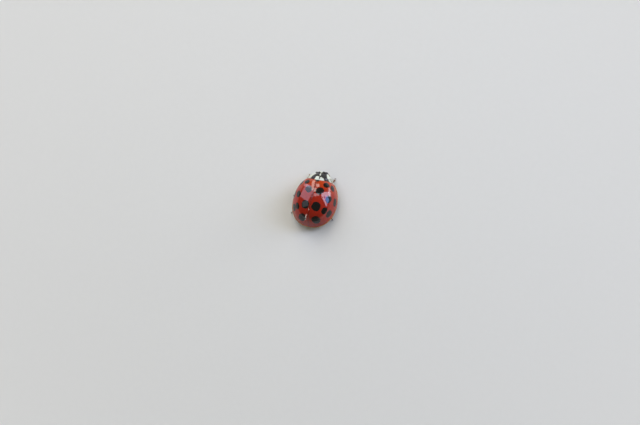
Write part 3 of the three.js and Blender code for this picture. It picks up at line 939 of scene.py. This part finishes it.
def bead_chain_tree():
    """Beads of changing size strung along a line of points."""
    grower = Grower("bead_chain", Beads="Int", Stretch="Float")
    given = grower.given
    line = grower.add("GeometryNodeMeshToCurve", {"Mesh": given["Geometry"]})[0]
    stops = grower.add("GeometryNodeCurveToPoints", {"Curve": line, "Count": given["Beads"]})
    across, depth, up = (grower.axis(grower.place, number) for number in range(3))
    flare = grower.math("MULTIPLY_ADD", up, 0.22, 1.0)
    flared = (grower.math("MULTIPLY", part, flare) for part in (across, depth))
    shaped = grower.combined(*flared, grower.math("MULTIPLY", up, given["Stretch"]))
    inputs = {"Segments": 16, "Rings": 12, "Radius": 1.0}
    globe = grower.add("GeometryNodeMeshUVSphere", inputs)["Mesh"]
    bead = grower.add("GeometryNodeSetPosition", {"Geometry": globe, "Position": shaped})[0]
    size = grower.add("GeometryNodeInputNamedAttribute", {"Name": "size"}, data_type="FLOAT")[0]
    return grower.finish(stops["Points"], bead, stops["Rotation"], size)


def hair_tree():
    """Short tapered hairs scattered over a surface and leaning one way."""
    grower = Grower("hairs", Density="Float", Length="Float", Radius="Float", Lean="Vector",
                    Lowest="Float", Seed="Int")
    shortest, longest = 0.6, 1.15       # as shares of the size that is asked for
    given = grower.given
    roots = grower.add("GeometryNodeDistributePointsOnFaces", {
        "Mesh": given["Geometry"], "Density": given["Density"], "Seed": given["Seed"],
        "Selection": grower.math("GREATER_THAN", grower.axis(grower.place, 2), given["Lowest"]),
    })
    hair = grower.add("GeometryNodeMeshCone", {
        "Vertices": 3, "Side Segments": 2, "Radius Top": 0.1, "Radius Bottom": 1.0, "Depth": 1.0,
    }, fill_type="TRIANGLE_FAN")["Mesh"]
    bent = grower.vector("ADD", roots["Normal"], given["Lean"])["Vector"]
    turn = grower.add("FunctionNodeAlignRotationToVector", {"Vector": bent}, axis="Z")[0]
    inputs = {2: shortest, 3: longest, "Seed": given["Seed"]}
    vary = grower.add("FunctionNodeRandomValue", inputs, data_type="FLOAT")[1]
    slim = grower.combined(given["Radius"], given["Radius"], given["Length"])
    size = grower.vector("SCALE", slim, Scale=vary)["Vector"]
    return grower.finish(roots["Points"], hair, turn, size)


def grown(name, mesh, tree, inputs):
    """The plain mesh object that a Geometry Nodes tree makes from a mesh."""
    source = linked(name + "_source", mesh)
    modifier = source.modifiers.new("grow", "NODES")
    modifier.node_group = tree
    for item in tree.interface.items_tree:
        if item.in_out == "INPUT" and item.name in inputs:
            modifier[item.identifier] = inputs[item.name]
    evaluated = source.evaluated_get(bpy.context.evaluated_depsgraph_get())
    made = bpy.data.meshes.new_from_object(evaluated)
    source.modifiers.remove(modifier)
    bpy.data.objects.remove(source)
    made.shade_smooth()
    made.name = name
    return linked(name, made)


# ------------------------------------------------------------------ head

# All these are in the head's own frame, in mm, in which -Y runs to the mouth.
EYES_AHEAD = np.array([0, -0.1, 0.08])
FEELER_STOPS = ((0.45, -0.42, -0.06), (0.64, -0.52, -0.14), (0.84, -0.48, -0.22),
                (0.94, -0.3, -0.31), (0.96, -0.1, -0.42))
FEELER_SHARES = (0, 0.06, 0.15, 0.65, 0.75, 0.9, 1)
FEELER_RADII = (0.07, 0.062, 0.04, 0.038, 0.058, 0.088, 0.062)
FEELER_JOINTS, FEELER_STRETCH = 11, 1.25
PALP_STOPS = (0.32, -0.46, -0.34), (0.40, -0.58, -0.42), (0.46, -0.70, -0.42), (0.54, -0.88, -0.38)
PALP_WIDTHS = (0.05, 0.065), (0.06, 0.07), (0.06, 0.14)
PALP_THICKEST = 0.075
JAW_STOPS = (0.30, -0.48, -0.16), (0.27, -0.64, -0.19), (0.14, -0.72, -0.2), (0.02, -0.735, -0.2)
JAW_THICKNESS = 0.09

# The dent in front of each eye and the swelling over it: place, width and depth.
DENTS = ((0.48, -0.38, 0.02), 0.09, 0.10), ((0.30, -0.20, 0.38), 0.22, -0.02)
LIP_GROOVE = (-0.42, 0.025, 0.035)      # place along, width and depth, on top of the head only
CREAM_PATCH = (-0.24, 0.21, 0.34)       # its middle along, half width and half length
PATCH_SPREAD = 0.2              # how many mm its mark climbs from the middle to the edge
BROW_SIZE, BROW_PLACE = np.array([0.40, 0.17, 0.11]), np.array([0, -0.50, 0.02])
BROW_CREAM = 0.3                # half the width of the cream on the plate over the mouth
EYE_SHAPE = np.array([1.0, 1.28, 1.12])
EYE_NOTCH = (-0.18, -0.02, 0.12)        # place along and up, and depth
LIP_SIZE, LIP_PLACE = np.array([0.27, 0.13, 0.07]), np.array([0, -0.62, -0.08])


def head_turn(s):
    """The head's dip and then its turn to one side, as a matrix."""
    return np.array(Matrix.Rotation(s.turn, 3, "Z") @ Matrix.Rotation(s.dip, 3, "X"))


def from_head(points, s):
    """Points moved from the head's own frame, which is found from the eyes, to the body's."""
    eyes = [middle(*node_box(f"eye_{hand}")) for hand in HANDS]
    place = middle(*eyes) - head_turn(s) @ EYES_AHEAD
    return np.asarray(points, float) @ head_turn(s).T + place


def dent(points, centre, width, depth):
    """Pushes points near a place in towards the middle, or out where depth is negative."""
    away = np.linalg.norm(points - centre, axis=-1)
    return points * (1 - depth * bell(away / width))[..., None]


def head_capsule(s):
    """The head with its cream forehead and the cream plate over the mouth."""
    unit = ball(72, 46)
    forward = np.clip(-unit[..., 1], 0, None)
    points = unit * np.array([s.half_width, s.half_length, s.half_depth])
    points[..., 0] *= 1 - 0.28 * forward ** 2
    points[..., 2] *= np.where(unit[..., 2] > 0, 1 - 0.12 * forward, 1)
    for hand in HANDS.values():
        for place, width, depth in DENTS:
            points = dent(points, mirrored(place, hand), width, depth)
    along, width, depth = LIP_GROOVE
    groove = bell((points[..., 1] - along) / width) * (points[..., 2] > 0)
    skin, faces = loft(points * (1 - depth * groove)[..., None])
    along, half_width, half_length = CREAM_PATCH
    patch = np.hypot(skin[:, 0] / half_width, (skin[:, 1] - along) / half_length) - 1
    patch = np.where(skin[:, 2] > 0, patch * PATCH_SPREAD, NEVER)
    brow = loft(ball(40, 20) * BROW_SIZE + BROW_PLACE)
    on_brow = np.abs(brow[0][:, 0]) - BROW_CREAM
    return *joined((skin, faces), brow), {"spot": np.append(patch, on_brow)}


def eye_ball(hand, s):
    """An eye with a notch in its front edge, in which the feeler sits."""
    points = ball(56, 36) * s.eye_half * EYE_SHAPE
    along, up, depth = EYE_NOTCH
    notch = bell((points[..., 1] - along) / 0.05, (points[..., 2] - up) / 0.04)
    points = points * (1 - depth * notch)[..., None]
    return loft(points + [hand * s.eye_out, 0, 0] + EYES_AHEAD)


def mouth():
    """The upper lip and the two jaws."""
    lip = ball(36, 18) * LIP_SIZE
    lip[..., 1] += 0.05 * bell(lip[..., 0] / 0.07)
    parts = [loft(lip + LIP_PLACE)]
    t = np.linspace(0, 1, 14)
    thick = JAW_THICKNESS * (1 - 0.75 * t ** 1.5) * rounded(t, 0.6, 0.04, 0.02) + 0.002
    for hand in HANDS.values():
        path = smooth_path(mirrored(JAW_STOPS, hand), len(t))
        parts.append(tube(path, thick, 0.8 * thick, 14))
    return joined(*parts)


def palp(hand):
    """A jaw feeler: three joints, with the last one broad and cut straight like a hatchet."""
    parts = []
    t = np.linspace(0, 1, 12)
    for first, second, (start, end) in zip(PALP_STOPS, PALP_STOPS[1:], PALP_WIDTHS):
        a, b = mirrored([first, second], hand)
        path = a + (b - a) * (t[:, None] * 1.3 - 0.2)
        thick = (start + (end - start) * t ** 1.3) * rounded(t, np.linalg.norm(b - a), 0.03, 0.05)
        flat = 0.7 * np.minimum(thick, PALP_THICKEST)
        parts.append(tube(path, thick + THINNEST, flat + THINNEST, 16))
    return joined(*parts)


def feeler(name, hand, s, tree, material):
    """A short clubbed feeler of eleven joints."""
    path = from_head(smooth_path(mirrored(FEELER_STOPS, hand), 60), s)
    mesh = bpy.data.meshes.new(name + "_line")
    mesh.from_pydata(placed(path), [(i, i + 1) for i in range(len(path) - 1)], [])
    radii = np.interp(np.linspace(0, 1, len(path)), FEELER_SHARES, FEELER_RADII)
    add_mark(mesh, "size", radii * MM)
    inputs = {"Beads": FEELER_JOINTS, "Stretch": FEELER_STRETCH, "Material": material}
    return grown(name, mesh, tree, inputs)


class MakeHead(bpy.types.Operator):
    """Makes the head, its eyes, mouth, palps and feelers"""

    bl_idname = "ladybird.head"
    bl_label = "Head"

    def execute(self, context):
        s, c = settings("head"), settings("colours")
        brown = shell_material("mouth_shell", c.brown, c.dark, pit_scale=16)
        tan = shell_material("feeler_shell", c.tan, c.brown, pit_scale=18)
        facets, beads = eye_material(c), bead_chain_tree()

        def add(name, shape, *finish):
            points, faces, *marks = shape
            make_piece(name, (from_head(points, s), faces, *marks), *finish)

        add("head_capsule", head_capsule(s), head_material(c), "head_black", "head")
        add("jaws_and_lip", mouth(), brown, "palp_brown", "mouthparts")
        for hand, sign in HANDS.items():
            add(f"eye_ball_{hand}", eye_ball(sign, s), facets, "eye_black", f"eye_{hand}")
            add(f"mouth_palp_{hand}", palp(sign), brown, "palp_brown", f"palp_{hand}")
            piece = feeler(f"feeler_{hand}", sign, s, beads, tan)
            finish_piece(piece, tan, "antenna_tan", f"antenna_{hand}")
        return {"FINISHED"}


# ------------------------------------------------------------------ underside

# How proud a belly plate stands, as shares of its length and of the overlap: it starts tucked
# in under the plate before it, swells to its rear edge and drops off there.
PLATE_STEPS = (0, 0.015, 0.04, 0.1, 0.25, 0.4, 0.55, 0.7, 0.85, 0.94, 0.975, 0.99)
PLATE_RISE = (0, 0.12, 0.35, 0.45, 0.58, 0.68, 0.77, 0.86, 0.95, 1.0, 0.92, 0.5)
TRUNK_SIDE, TRUNK_TOP = 0.16, 0.3       # height of the sides over the rim, and of the top over them
TRUNK_INSET, TRUNK_ROUND = 0.02, 0.12   # the gap at the ends of its solid, and how they are rounded
FURROW = 0.035                          # half width of the furrow along the middle


def trunk(front, rear, sag, w, plates, widest, overlap):
    """A stretch of the body under the wing cases, with its underside in overlapping plates."""
    along = np.append([(plate + step) / plates for plate in range(plates) for step in PLATE_STEPS], 1)
    proud = overlap * np.append(np.tile(PLATE_RISE, plates), 0)[:, None]
    y = front + (rear - front) * along
    reach = np.where(y > 0, w.rear_reach, w.front_reach)
    half = HALF_WIDTH * widest * (1 - (np.abs(y) / reach) ** w.oval_power) ** (1 / w.oval_power)
    ends = rounded(along, rear - front, TRUNK_ROUND, TRUNK_ROUND)
    half = (half * (0.2 * ends + 0.8))[:, None]
    turn = np.linspace(0, 2 * math.pi, 80, endpoint=False)[None, :]
    x = half * power(np.cos(turn), 0.8)
    sideways = np.abs(x / half)
    floor_side = np.clip(1 - sideways ** 2.4, 0, 1) ** 0.7
    bow = 0.5 * overlap * np.sin(math.pi * along)[:, None] * sideways ** 2
    furrow = 0.4 * overlap * bell(x / FURROW)
    side = rim_z(y, w)[:, None] + TRUNK_SIDE
    under = side - (TRUNK_SIDE + sag) * floor_side - proud * floor_side ** 0.5 + furrow
    z = np.where(np.sin(turn) < 0, under, side + TRUNK_TOP * floor_side)
    return loft(np.stack([x, y[:, None] - bow, z], axis=-1))


class MakeUnderside(bpy.types.Operator):
    """Makes the fore body, the breast and the belly"""

    bl_idname = "ladybird.underside"
    bl_label = "Underside"

    def execute(self, context):
        w, c = settings("wing_case"), settings("colours")
        finish = {"pit_strength": 0.6, "coat": 0.3}
        dark = shell_material("breast_shell", c.dark, c.black, pit_scale=8, **finish)
        brown = shell_material("belly_shell", c.brown, c.dark, dark_half=1.5, **finish)
        for name, node, sag, plates, widest, overlap, paint, slot in (
            ("fore_breast", "prothorax", 0.08, 1, 0.75, 0.04, dark, "underside_dark"),
            ("breast", "thorax", 0.10, 2, 0.79, 0.07, dark, "underside_dark"),
            ("belly", "abdomen", 0.08, 6, 0.79, 0.07, brown, "abdomen_brown"),
        ):
            low, high = node_box(node)
            front, rear = low[1] + TRUNK_INSET, high[1] - TRUNK_INSET
            shape = trunk(front, rear, sag, w, plates, widest, overlap)
            make_piece(name, shape, paint, slot, node)
        return {"FINISHED"}


# ------------------------------------------------------------------ legs

# Which way each thigh, shin and foot runs, as signs of x, y and z for a left leg, and how
# far each solid limb's end lies inside its box, in mm.
LEG_RUNS = {
    "front": ((1, 1, -1), (1, -1, -1), (1, -1, -1)),
    "middle": ((1, -1, -1), (1, 1, -1), (1, 1, -1)),
    "hind": ((1, 1, -1), (1, 1, -1), (1, 1, -1)),
}
HIP_INSET, KNEE_INSET, ANKLE_INSET, TIP_INSET = 0.28, 0.25, 0.24, 0.2
HIP_SIZE = np.array([0.3, 0.2, 0.17])           # half sizes of the rounded hip joint
HIP_OFFSET = (-0.12, 0.0, 0.07)                 # from the thigh's start in to the hip, on the left
HIP_SHADE, JOINT_REACH = 0.3, 0.12      # how dark a hip is, where 1 is a knee, and how far that goes

# Half widths and half heights from end to end, how far the limb is bowed up, and the lengths
# over which its two ends are rounded.
THIGH = (0.16, 0.2, 0.17, 0.11), (0.13, 0.16, 0.15, 0.11), 0.03, (0.16, 0.1)
SHIN = (0.085, 0.09, 0.1, 0.115), (0.08, 0.085, 0.09, 0.1), 0.02, (0.08, 0.05)

# The parts of a foot: stops along it, as a share of its length from the ankle, up from the
# floor and out to one side, and then half widths and half heights at its two ends.
WEDGE = ((-0.14, 0.34, 0), (0.1, 0.2, 0), (0.36, 0.075, 0)), (0.06, 0.10), (0.06, 0.05)
LOBE = ((0.28, 0.09, 0), (0.42, 0.062, 0.05), (0.60, 0.05, 0.075)), (0.05, 0.065), (0.04, 0.045)
CLAW_JOINT = ((0.42, 0.08, 0), (0.66, 0.13, 0), (0.92, 0.12, 0)), (0.03, 0.045), (0.03, 0.045)
FOOT_JOINT, FOOT_ENDS = 0.3, (0.03, 0.06)       # roughly a joint's length, and its rounded ends

# The claws and their teeth: the same kind of stops, then thickness, steps and sides.
CLAW = ((0.9, 0.12, 0.02), (1.02, 0.125, 0.05), (1.12, 0.08, 0.085), (1.13, 0.014, 0.09)), 0.03, 16, 10
TOOTH = ((0.98, 0.12, 0.04), (1.03, 0.07, 0.055), (1.03, 0.045, 0.06)), 0.024, 8, 8
TIP = 0.003                     # half the thickness at the very tip of a claw


def leg_joints(pair, side):
    """Hip, knee, ankle and the tip of the foot: corners of the limbs' boxes, moved inwards."""
    thigh_run, shin_run, foot_run = LEG_RUNS[pair]
    joints = []
    for part, run, inset, way in (
        ("femur", thigh_run, HIP_INSET, -1), ("femur", thigh_run, KNEE_INSET, 1),
        ("tibia", shin_run, ANKLE_INSET, 1), ("tarsus", foot_run, TIP_INSET, 1),
    ):
        low, high = node_box(f"{part}_{pair}_{side}")
        ahead = mirrored(run, HANDS[side]) * way
        joints.append(np.where(ahead > 0, high - inset, low + inset))
    return joints


def joint_tube(path, long, widths, heights, ends, sides):
    """A tube with rounded ends, through half widths and half heights set evenly along it."""
    t = np.linspace(0, 1, len(path))
    across, up = (
        np.interp(t, np.linspace(0, 1, len(halves)), halves) * rounded(t, long, *ends) + THINNEST
        for halves in (widths, heights)
    )
    return tube(path, across, up, sides)


def limb(start, end, widths, heights, bow, ends, sides=22):
    """A thigh or a shin, as points, faces and a mark that is 1 at its joints."""
    t = np.linspace(0, 1, 28)
    path = start + (end - start) * t[:, None]
    path[:, 2] += bow * np.sin(math.pi * t)
    long = np.linalg.norm(end - start)
    near_joint = np.clip(1 - np.minimum(t, 1 - t) * long / JOINT_REACH, 0, 1)
    joint = np.append(np.repeat(near_joint, sides), [1, 1])
    return *joint_tube(path, long, widths, heights, ends, sides), {"joint": joint}


def thigh(hip, knee, hand):
    """A thigh with its rounded hip joint."""
    points, faces, marks = limb(hip, knee, *THIGH)
    socket = loft(ball(32, 18) * HIP_SIZE + hip + mirrored(HIP_OFFSET, hand))
    joint = np.append(marks["joint"], np.full(len(socket[0]), HIP_SHADE))
    return *joined((points, faces), socket), {"joint": joint}


def foot(ankle, tip):
    """A foot of a wedge, a broad two-lobed pad and a slender claw joint, and its claws."""
    ahead = (tip - ankle) * np.array([1, 1, 0])
    long = np.linalg.norm(ahead)
    ahead /= long
    side = np.array([-ahead[1], ahead[0], 0])

    def curve(stops, steps, hand):
        return smooth_path([
            ankle * [1, 1, 0] + ahead * along * long + side * (hand * out) + [0, 0, up]
            for along, up, out in stops
        ], steps)

    def claw(stops, thick, steps, sides, hand):
        taper = thick * (1 - np.linspace(0, 1, steps)) ** 0.7 + TIP
        return tube(curve(stops, steps, hand), taper, taper, sides, above=tuple(side))

    pads = [
        joint_tube(curve(stops, 16, hand), FOOT_JOINT, *halves, FOOT_ENDS, 16)
        for (stops, *halves), hand in ((WEDGE, 1), (LOBE, 1), (LOBE, -1), (CLAW_JOINT, 1))
    ]
    claws = [claw(*shape, hand) for hand in (1, -1) for shape in (CLAW, TOOTH)]
    return joined(*pads), joined(*claws)


class MakeLegs(bpy.types.Operator):
    """Makes the six legs with their feet and claws"""

    bl_idname = "ladybird.legs"
    bl_label = "Legs"

    def execute(self, context):
        c = settings("colours")
        dark = shell_material("thigh_shell", c.dark, c.black, pit_scale=12)
        brown = shell_material("shin_shell", c.brown, c.dark, pit_scale=14)
        tan = shell_material("foot_shell", c.tan, c.brown, pit_scale=18)
        horn = shell_material("claw_shell", c.brown, c.dark, pit_scale=20, roughness=0.25)
        for pair, (side, hand) in product(LEG_RUNS, HANDS.items()):
            hip, knee, ankle, tip = leg_joints(pair, side)
            pads, claws = foot(ankle, tip)
            for name, shape, paint, slot, *nodes in (
                ("thigh", thigh(hip, knee, hand), dark, "leg_dark", "femur"),
                ("shin", limb(knee, ankle, *SHIN), brown, "leg_dark", "tibia"),
                ("foot", pads, tan, "foot_tan", "tarsus"),
                ("claws", claws, horn, "foot_tan"),
            ):
                tag = f"_{pair}_{side}"
                make_piece(name + tag, shape, paint, slot, *(node + tag for node in nodes))
        return {"FINISHED"}


# ------------------------------------------------------------------ hairs

# Where each group grows, and then hairs to a square metre, length and radius in metres, the
# way that they lean, and the slot.
HAIR_GROUPS = {
    "hair_legs": (("thigh_", "shin_", "foot_"), 5e7, 7e-5, 3e-6, (0, 0.3, -0.2), "foot_tan"),
    "hair_belly": (("belly", "breast", "fore_"), 2.2e7, 7e-5, 3e-6, (0, 1.4, 0), "abdomen_brown"),
    "hair_head": (("feeler_", "mouth_", "jaws_"), 6e7, 5e-5, 2.5e-6, (0, -0.6, 0), "palp_brown"),
}
HAIR_LOWEST = 0.11 * MM         # no hair is rooted nearer the floor than this
HAIR_SEED = 7


class MakeHairs(bpy.types.Operator):
    """Grows the fine pale hairs of the legs, the belly and the head"""

    bl_idname = "ladybird.hairs"
    bl_label = "Hairs"

    def execute(self, context):
        tree, paint = hair_tree(), hair_material(settings("colours"))
        for name, (starts, density, long, thick, lean, slot) in HAIR_GROUPS.items():
            work = bmesh.new()
            for piece in list(context.scene.objects):
                if piece.type == "MESH" and piece.name.startswith(starts):
                    work.from_mesh(piece.data)
            mesh = bpy.data.meshes.new(name + "_skin")
            work.to_mesh(mesh)
            work.free()
            inputs = {"Density": density, "Length": long, "Radius": thick, "Lean": lean,
                      "Lowest": HAIR_LOWEST, "Seed": HAIR_SEED, "Material": paint}
            finish_piece(grown(name, mesh, tree, inputs), paint, slot)
        return {"FINISHED"}


# ------------------------------------------------------------------ stage

# Soft lights as the animal sees them: azimuth, elevation, width, height and tilt in degrees,
# then how bright the face of each is, and its colour.
COOL, NEUTRAL = (0.84, 0.88, 1.0), (1.0, 0.97, 0.88)
LAVENDER, BLUE = (0.74, 0.77, 1.0), (0.25, 0.45, 1.0)
SOFTBOXES = {
    "broad_soft": (56, 42, 36, 52, 8, 2.3, LAVENDER),
    "broad_edge": (43, 23, 9, 38, 26, 2.6, LAVENDER),
    "side_high": (306, 32, 13, 46, -10, 6.0, LAVENDER),
    "side_core": (290, 25, 12, 28, -28, 6.8, BLUE),
    "side_end": (283, 34, 6, 40, -34, 6.0, LAVENDER),
    "side_low": (308, 4, 24, 22, 0, 5.2, COOL),
    "front_band": (350, 68, 24, 8, 20, 3.0, COOL),
    "front_strip": (22, 30, 9, 48, -6, 4.5, NEUTRAL),
    "front_high": (14, 53, 9, 13, 0, 5.0, NEUTRAL),
    "front_low": (4, 35, 11, 15, 20, 5.0, NEUTRAL),
    "rear_dim": (104, 54, 20, 30, 0, 0.8, COOL),
    "rear_strip": (157, 17, 5, 28, 0, 6.0, NEUTRAL),
    "rear_high": (152, 58, 4, 4, 0, 6.0, NEUTRAL),
}
SOFTBOX_DISTANCE = 0.4          # from the foot of the crown, in metres
FLOOR_RADIUS = 0.35             # in metres
FLOOR_SHADES = (0.77, 0.755, 0.66), (0.79, 0.775, 0.68)
FLOOR_FADE = 16, 90             # the card fades into the surround between these radii, in mm
BACKDROP = (0.68, 0.68, 0.675)
SKY_LOW, SKY_HIGH = (0.72, 0.71, 0.66), (0.11, 0.105, 0.065)
SKY_BAND = 0.04, 0.14           # the sky goes from low to high between these heights


def direction(azimuth, elevation):
    """The way to a place in the sky, from azimuth and elevation in radians."""
    level = math.cos(elevation)
    return Vector((math.sin(azimuth) * level, -math.cos(azimuth) * level, math.sin(elevation)))


def floor_disc():
    """A pale card whose far parts fade into the surround."""
    mesh = bpy.data.meshes.new("floor")
    work = bmesh.new()
    bmesh.ops.create_circle(work, cap_ends=True, segments=96, radius=FLOOR_RADIUS)
    work.to_mesh(mesh)
    work.free()
    paint = Paint("floor_card")
    shade = paint.mix(paint.noise(1.5, 4.0), *FLOOR_SHADES)
    inputs = {"Base Color": shade, "Roughness": 0.9, "Specular IOR Level": 0.1}
    card = paint.add("ShaderNodeBsdfPrincipled", inputs)[0]
    glow = paint.add("ShaderNodeEmission", {"Color": BACKDROP, "Strength": 1.0})[0]
    far = paint.ramp(paint.vector("LENGTH", paint.place)["Value"], *FLOOR_FADE)
    seen = paint.math("MULTIPLY", far, paint.seen())
    mesh.materials.append(paint.finish("ShaderNodeMixShader", {0: seen, 1: card, 2: glow}))
    linked("floor", mesh)


def softbox(name, azimuth, elevation, width, height, tilt, brightness, tint):
    """A flat light that looks this wide, high and bright from the foot of the crown."""
    azimuth, elevation, width, height, tilt = map(
        math.radians, (azimuth, elevation, width, height, tilt)
    )
    light = bpy.data.lights.new(name, "AREA")
    light.shape = "RECTANGLE"
    light.size, light.size_y = (
        2 * SOFTBOX_DISTANCE * math.tan(spread / 2) for spread in (width, height)
    )
    light.energy = brightness * math.pi * light.size * light.size_y
    light.color = tint
    lamp = linked(name, light)
    away = direction(azimuth, elevation)
    turn = away.to_track_quat("Z", "Y").to_matrix() @ Matrix.Rotation(tilt, 3, "Z")
    lamp.location = away * SOFTBOX_DISTANCE
    lamp.rotation_euler = turn.to_euler()
    lamp.visible_camera = False


def sky():
    """A dim even surround, paler near the horizon, which the camera sees as a plain backdrop."""
    world = bpy.data.worlds.new("surround")
    world.use_nodes = True
    world.node_tree.nodes.clear()
    tree = Tree(world.node_tree)
    ray = tree.add("ShaderNodeTexCoord")["Generated"]
    shade = tree.mix(tree.ramp(tree.axis(ray, 2), *SKY_BAND), SKY_LOW, SKY_HIGH)
    shade = tree.mix(tree.seen(), shade, BACKDROP)
    glow = tree.add("ShaderNodeBackground", {"Color": shade, "Strength": 1.0})
    tree.add("ShaderNodeOutputWorld", {"Surface": glow[0]})
    bpy.context.scene.world = world


def camera(s, w):
    """Looks down on the back from behind the right hand side."""
    away = direction(s.azimuth, s.elevation)
    level = Vector((0, 0, 1)).cross(away).normalized()
    upright = away.cross(level)
    right = math.cos(s.roll) * level + math.sin(s.roll) * upright
    up = -math.sin(s.roll) * level + math.cos(s.roll) * upright
    foot_of_crown = Vector((CROWN + np.array([0, 0, w.rim_height])) * MM)
    aim = foot_of_crown + (right * s.aside - up * s.below) * MM
    eye = bpy.data.cameras.new("camera")
    eye.lens, eye.sensor_width = s.lens, s.sensor
    eye.clip_start, eye.clip_end = 0.005, 10
    distance = s.view_width * MM * s.lens / s.sensor
    turn = Matrix((right, up, away)).transposed().to_4x4()
    viewer = linked("camera", eye)
    viewer.matrix_world = Matrix.Translation(aim + away * distance) @ turn
    bpy.context.scene.camera = viewer


class MakeStage(bpy.types.Operator):
    """Makes the floor, the lights, the surround and the camera"""

    bl_idname = "ladybird.stage"
    bl_label = "Stage"

    def execute(self, context):
        floor_disc()
        for name, values in SOFTBOXES.items():
            softbox(name, *values)
        sky()
        camera(settings("stage"), settings("wing_case"))
        context.scene.view_settings.view_transform = "Standard"
        return {"FINISHED"}


# ------------------------------------------------------------------ add-on

STEPS = (MakeWingCases, MakeShield, MakeHead, MakeUnderside, MakeLegs, MakeHairs, MakeStage)


class LadybirdPanel(bpy.types.Panel):
    """Lists the steps that make the ladybird"""

    bl_idname = "VIEW3D_PT_ladybird"
    bl_label = "Ladybird"
    bl_space_type = "VIEW_3D"
    bl_region_type = "UI"
    bl_category = "Ladybird"

    def draw(self, context):
        for step in STEPS:
            self.layout.operator(step.bl_idname)


CLASSES = (
    WingCaseSettings, ShieldSettings, HeadSettings, ColourSettings, StageSettings,
    LadybirdSettings, *STEPS, LadybirdPanel,
)


def register():
    for item in CLASSES:
        bpy.utils.register_class(item)
    bpy.types.Scene.ladybird = bpy.props.PointerProperty(type=LadybirdSettings)


def unregister():
    del bpy.types.Scene.ladybird
    for item in reversed(CLASSES):
        bpy.utils.unregister_class(item)


def main():
    register()
    for step in STEPS:
        group, name = step.bl_idname.split(".")
        getattr(getattr(bpy.ops, group), name)()


if __name__ == "__main__":
    main()
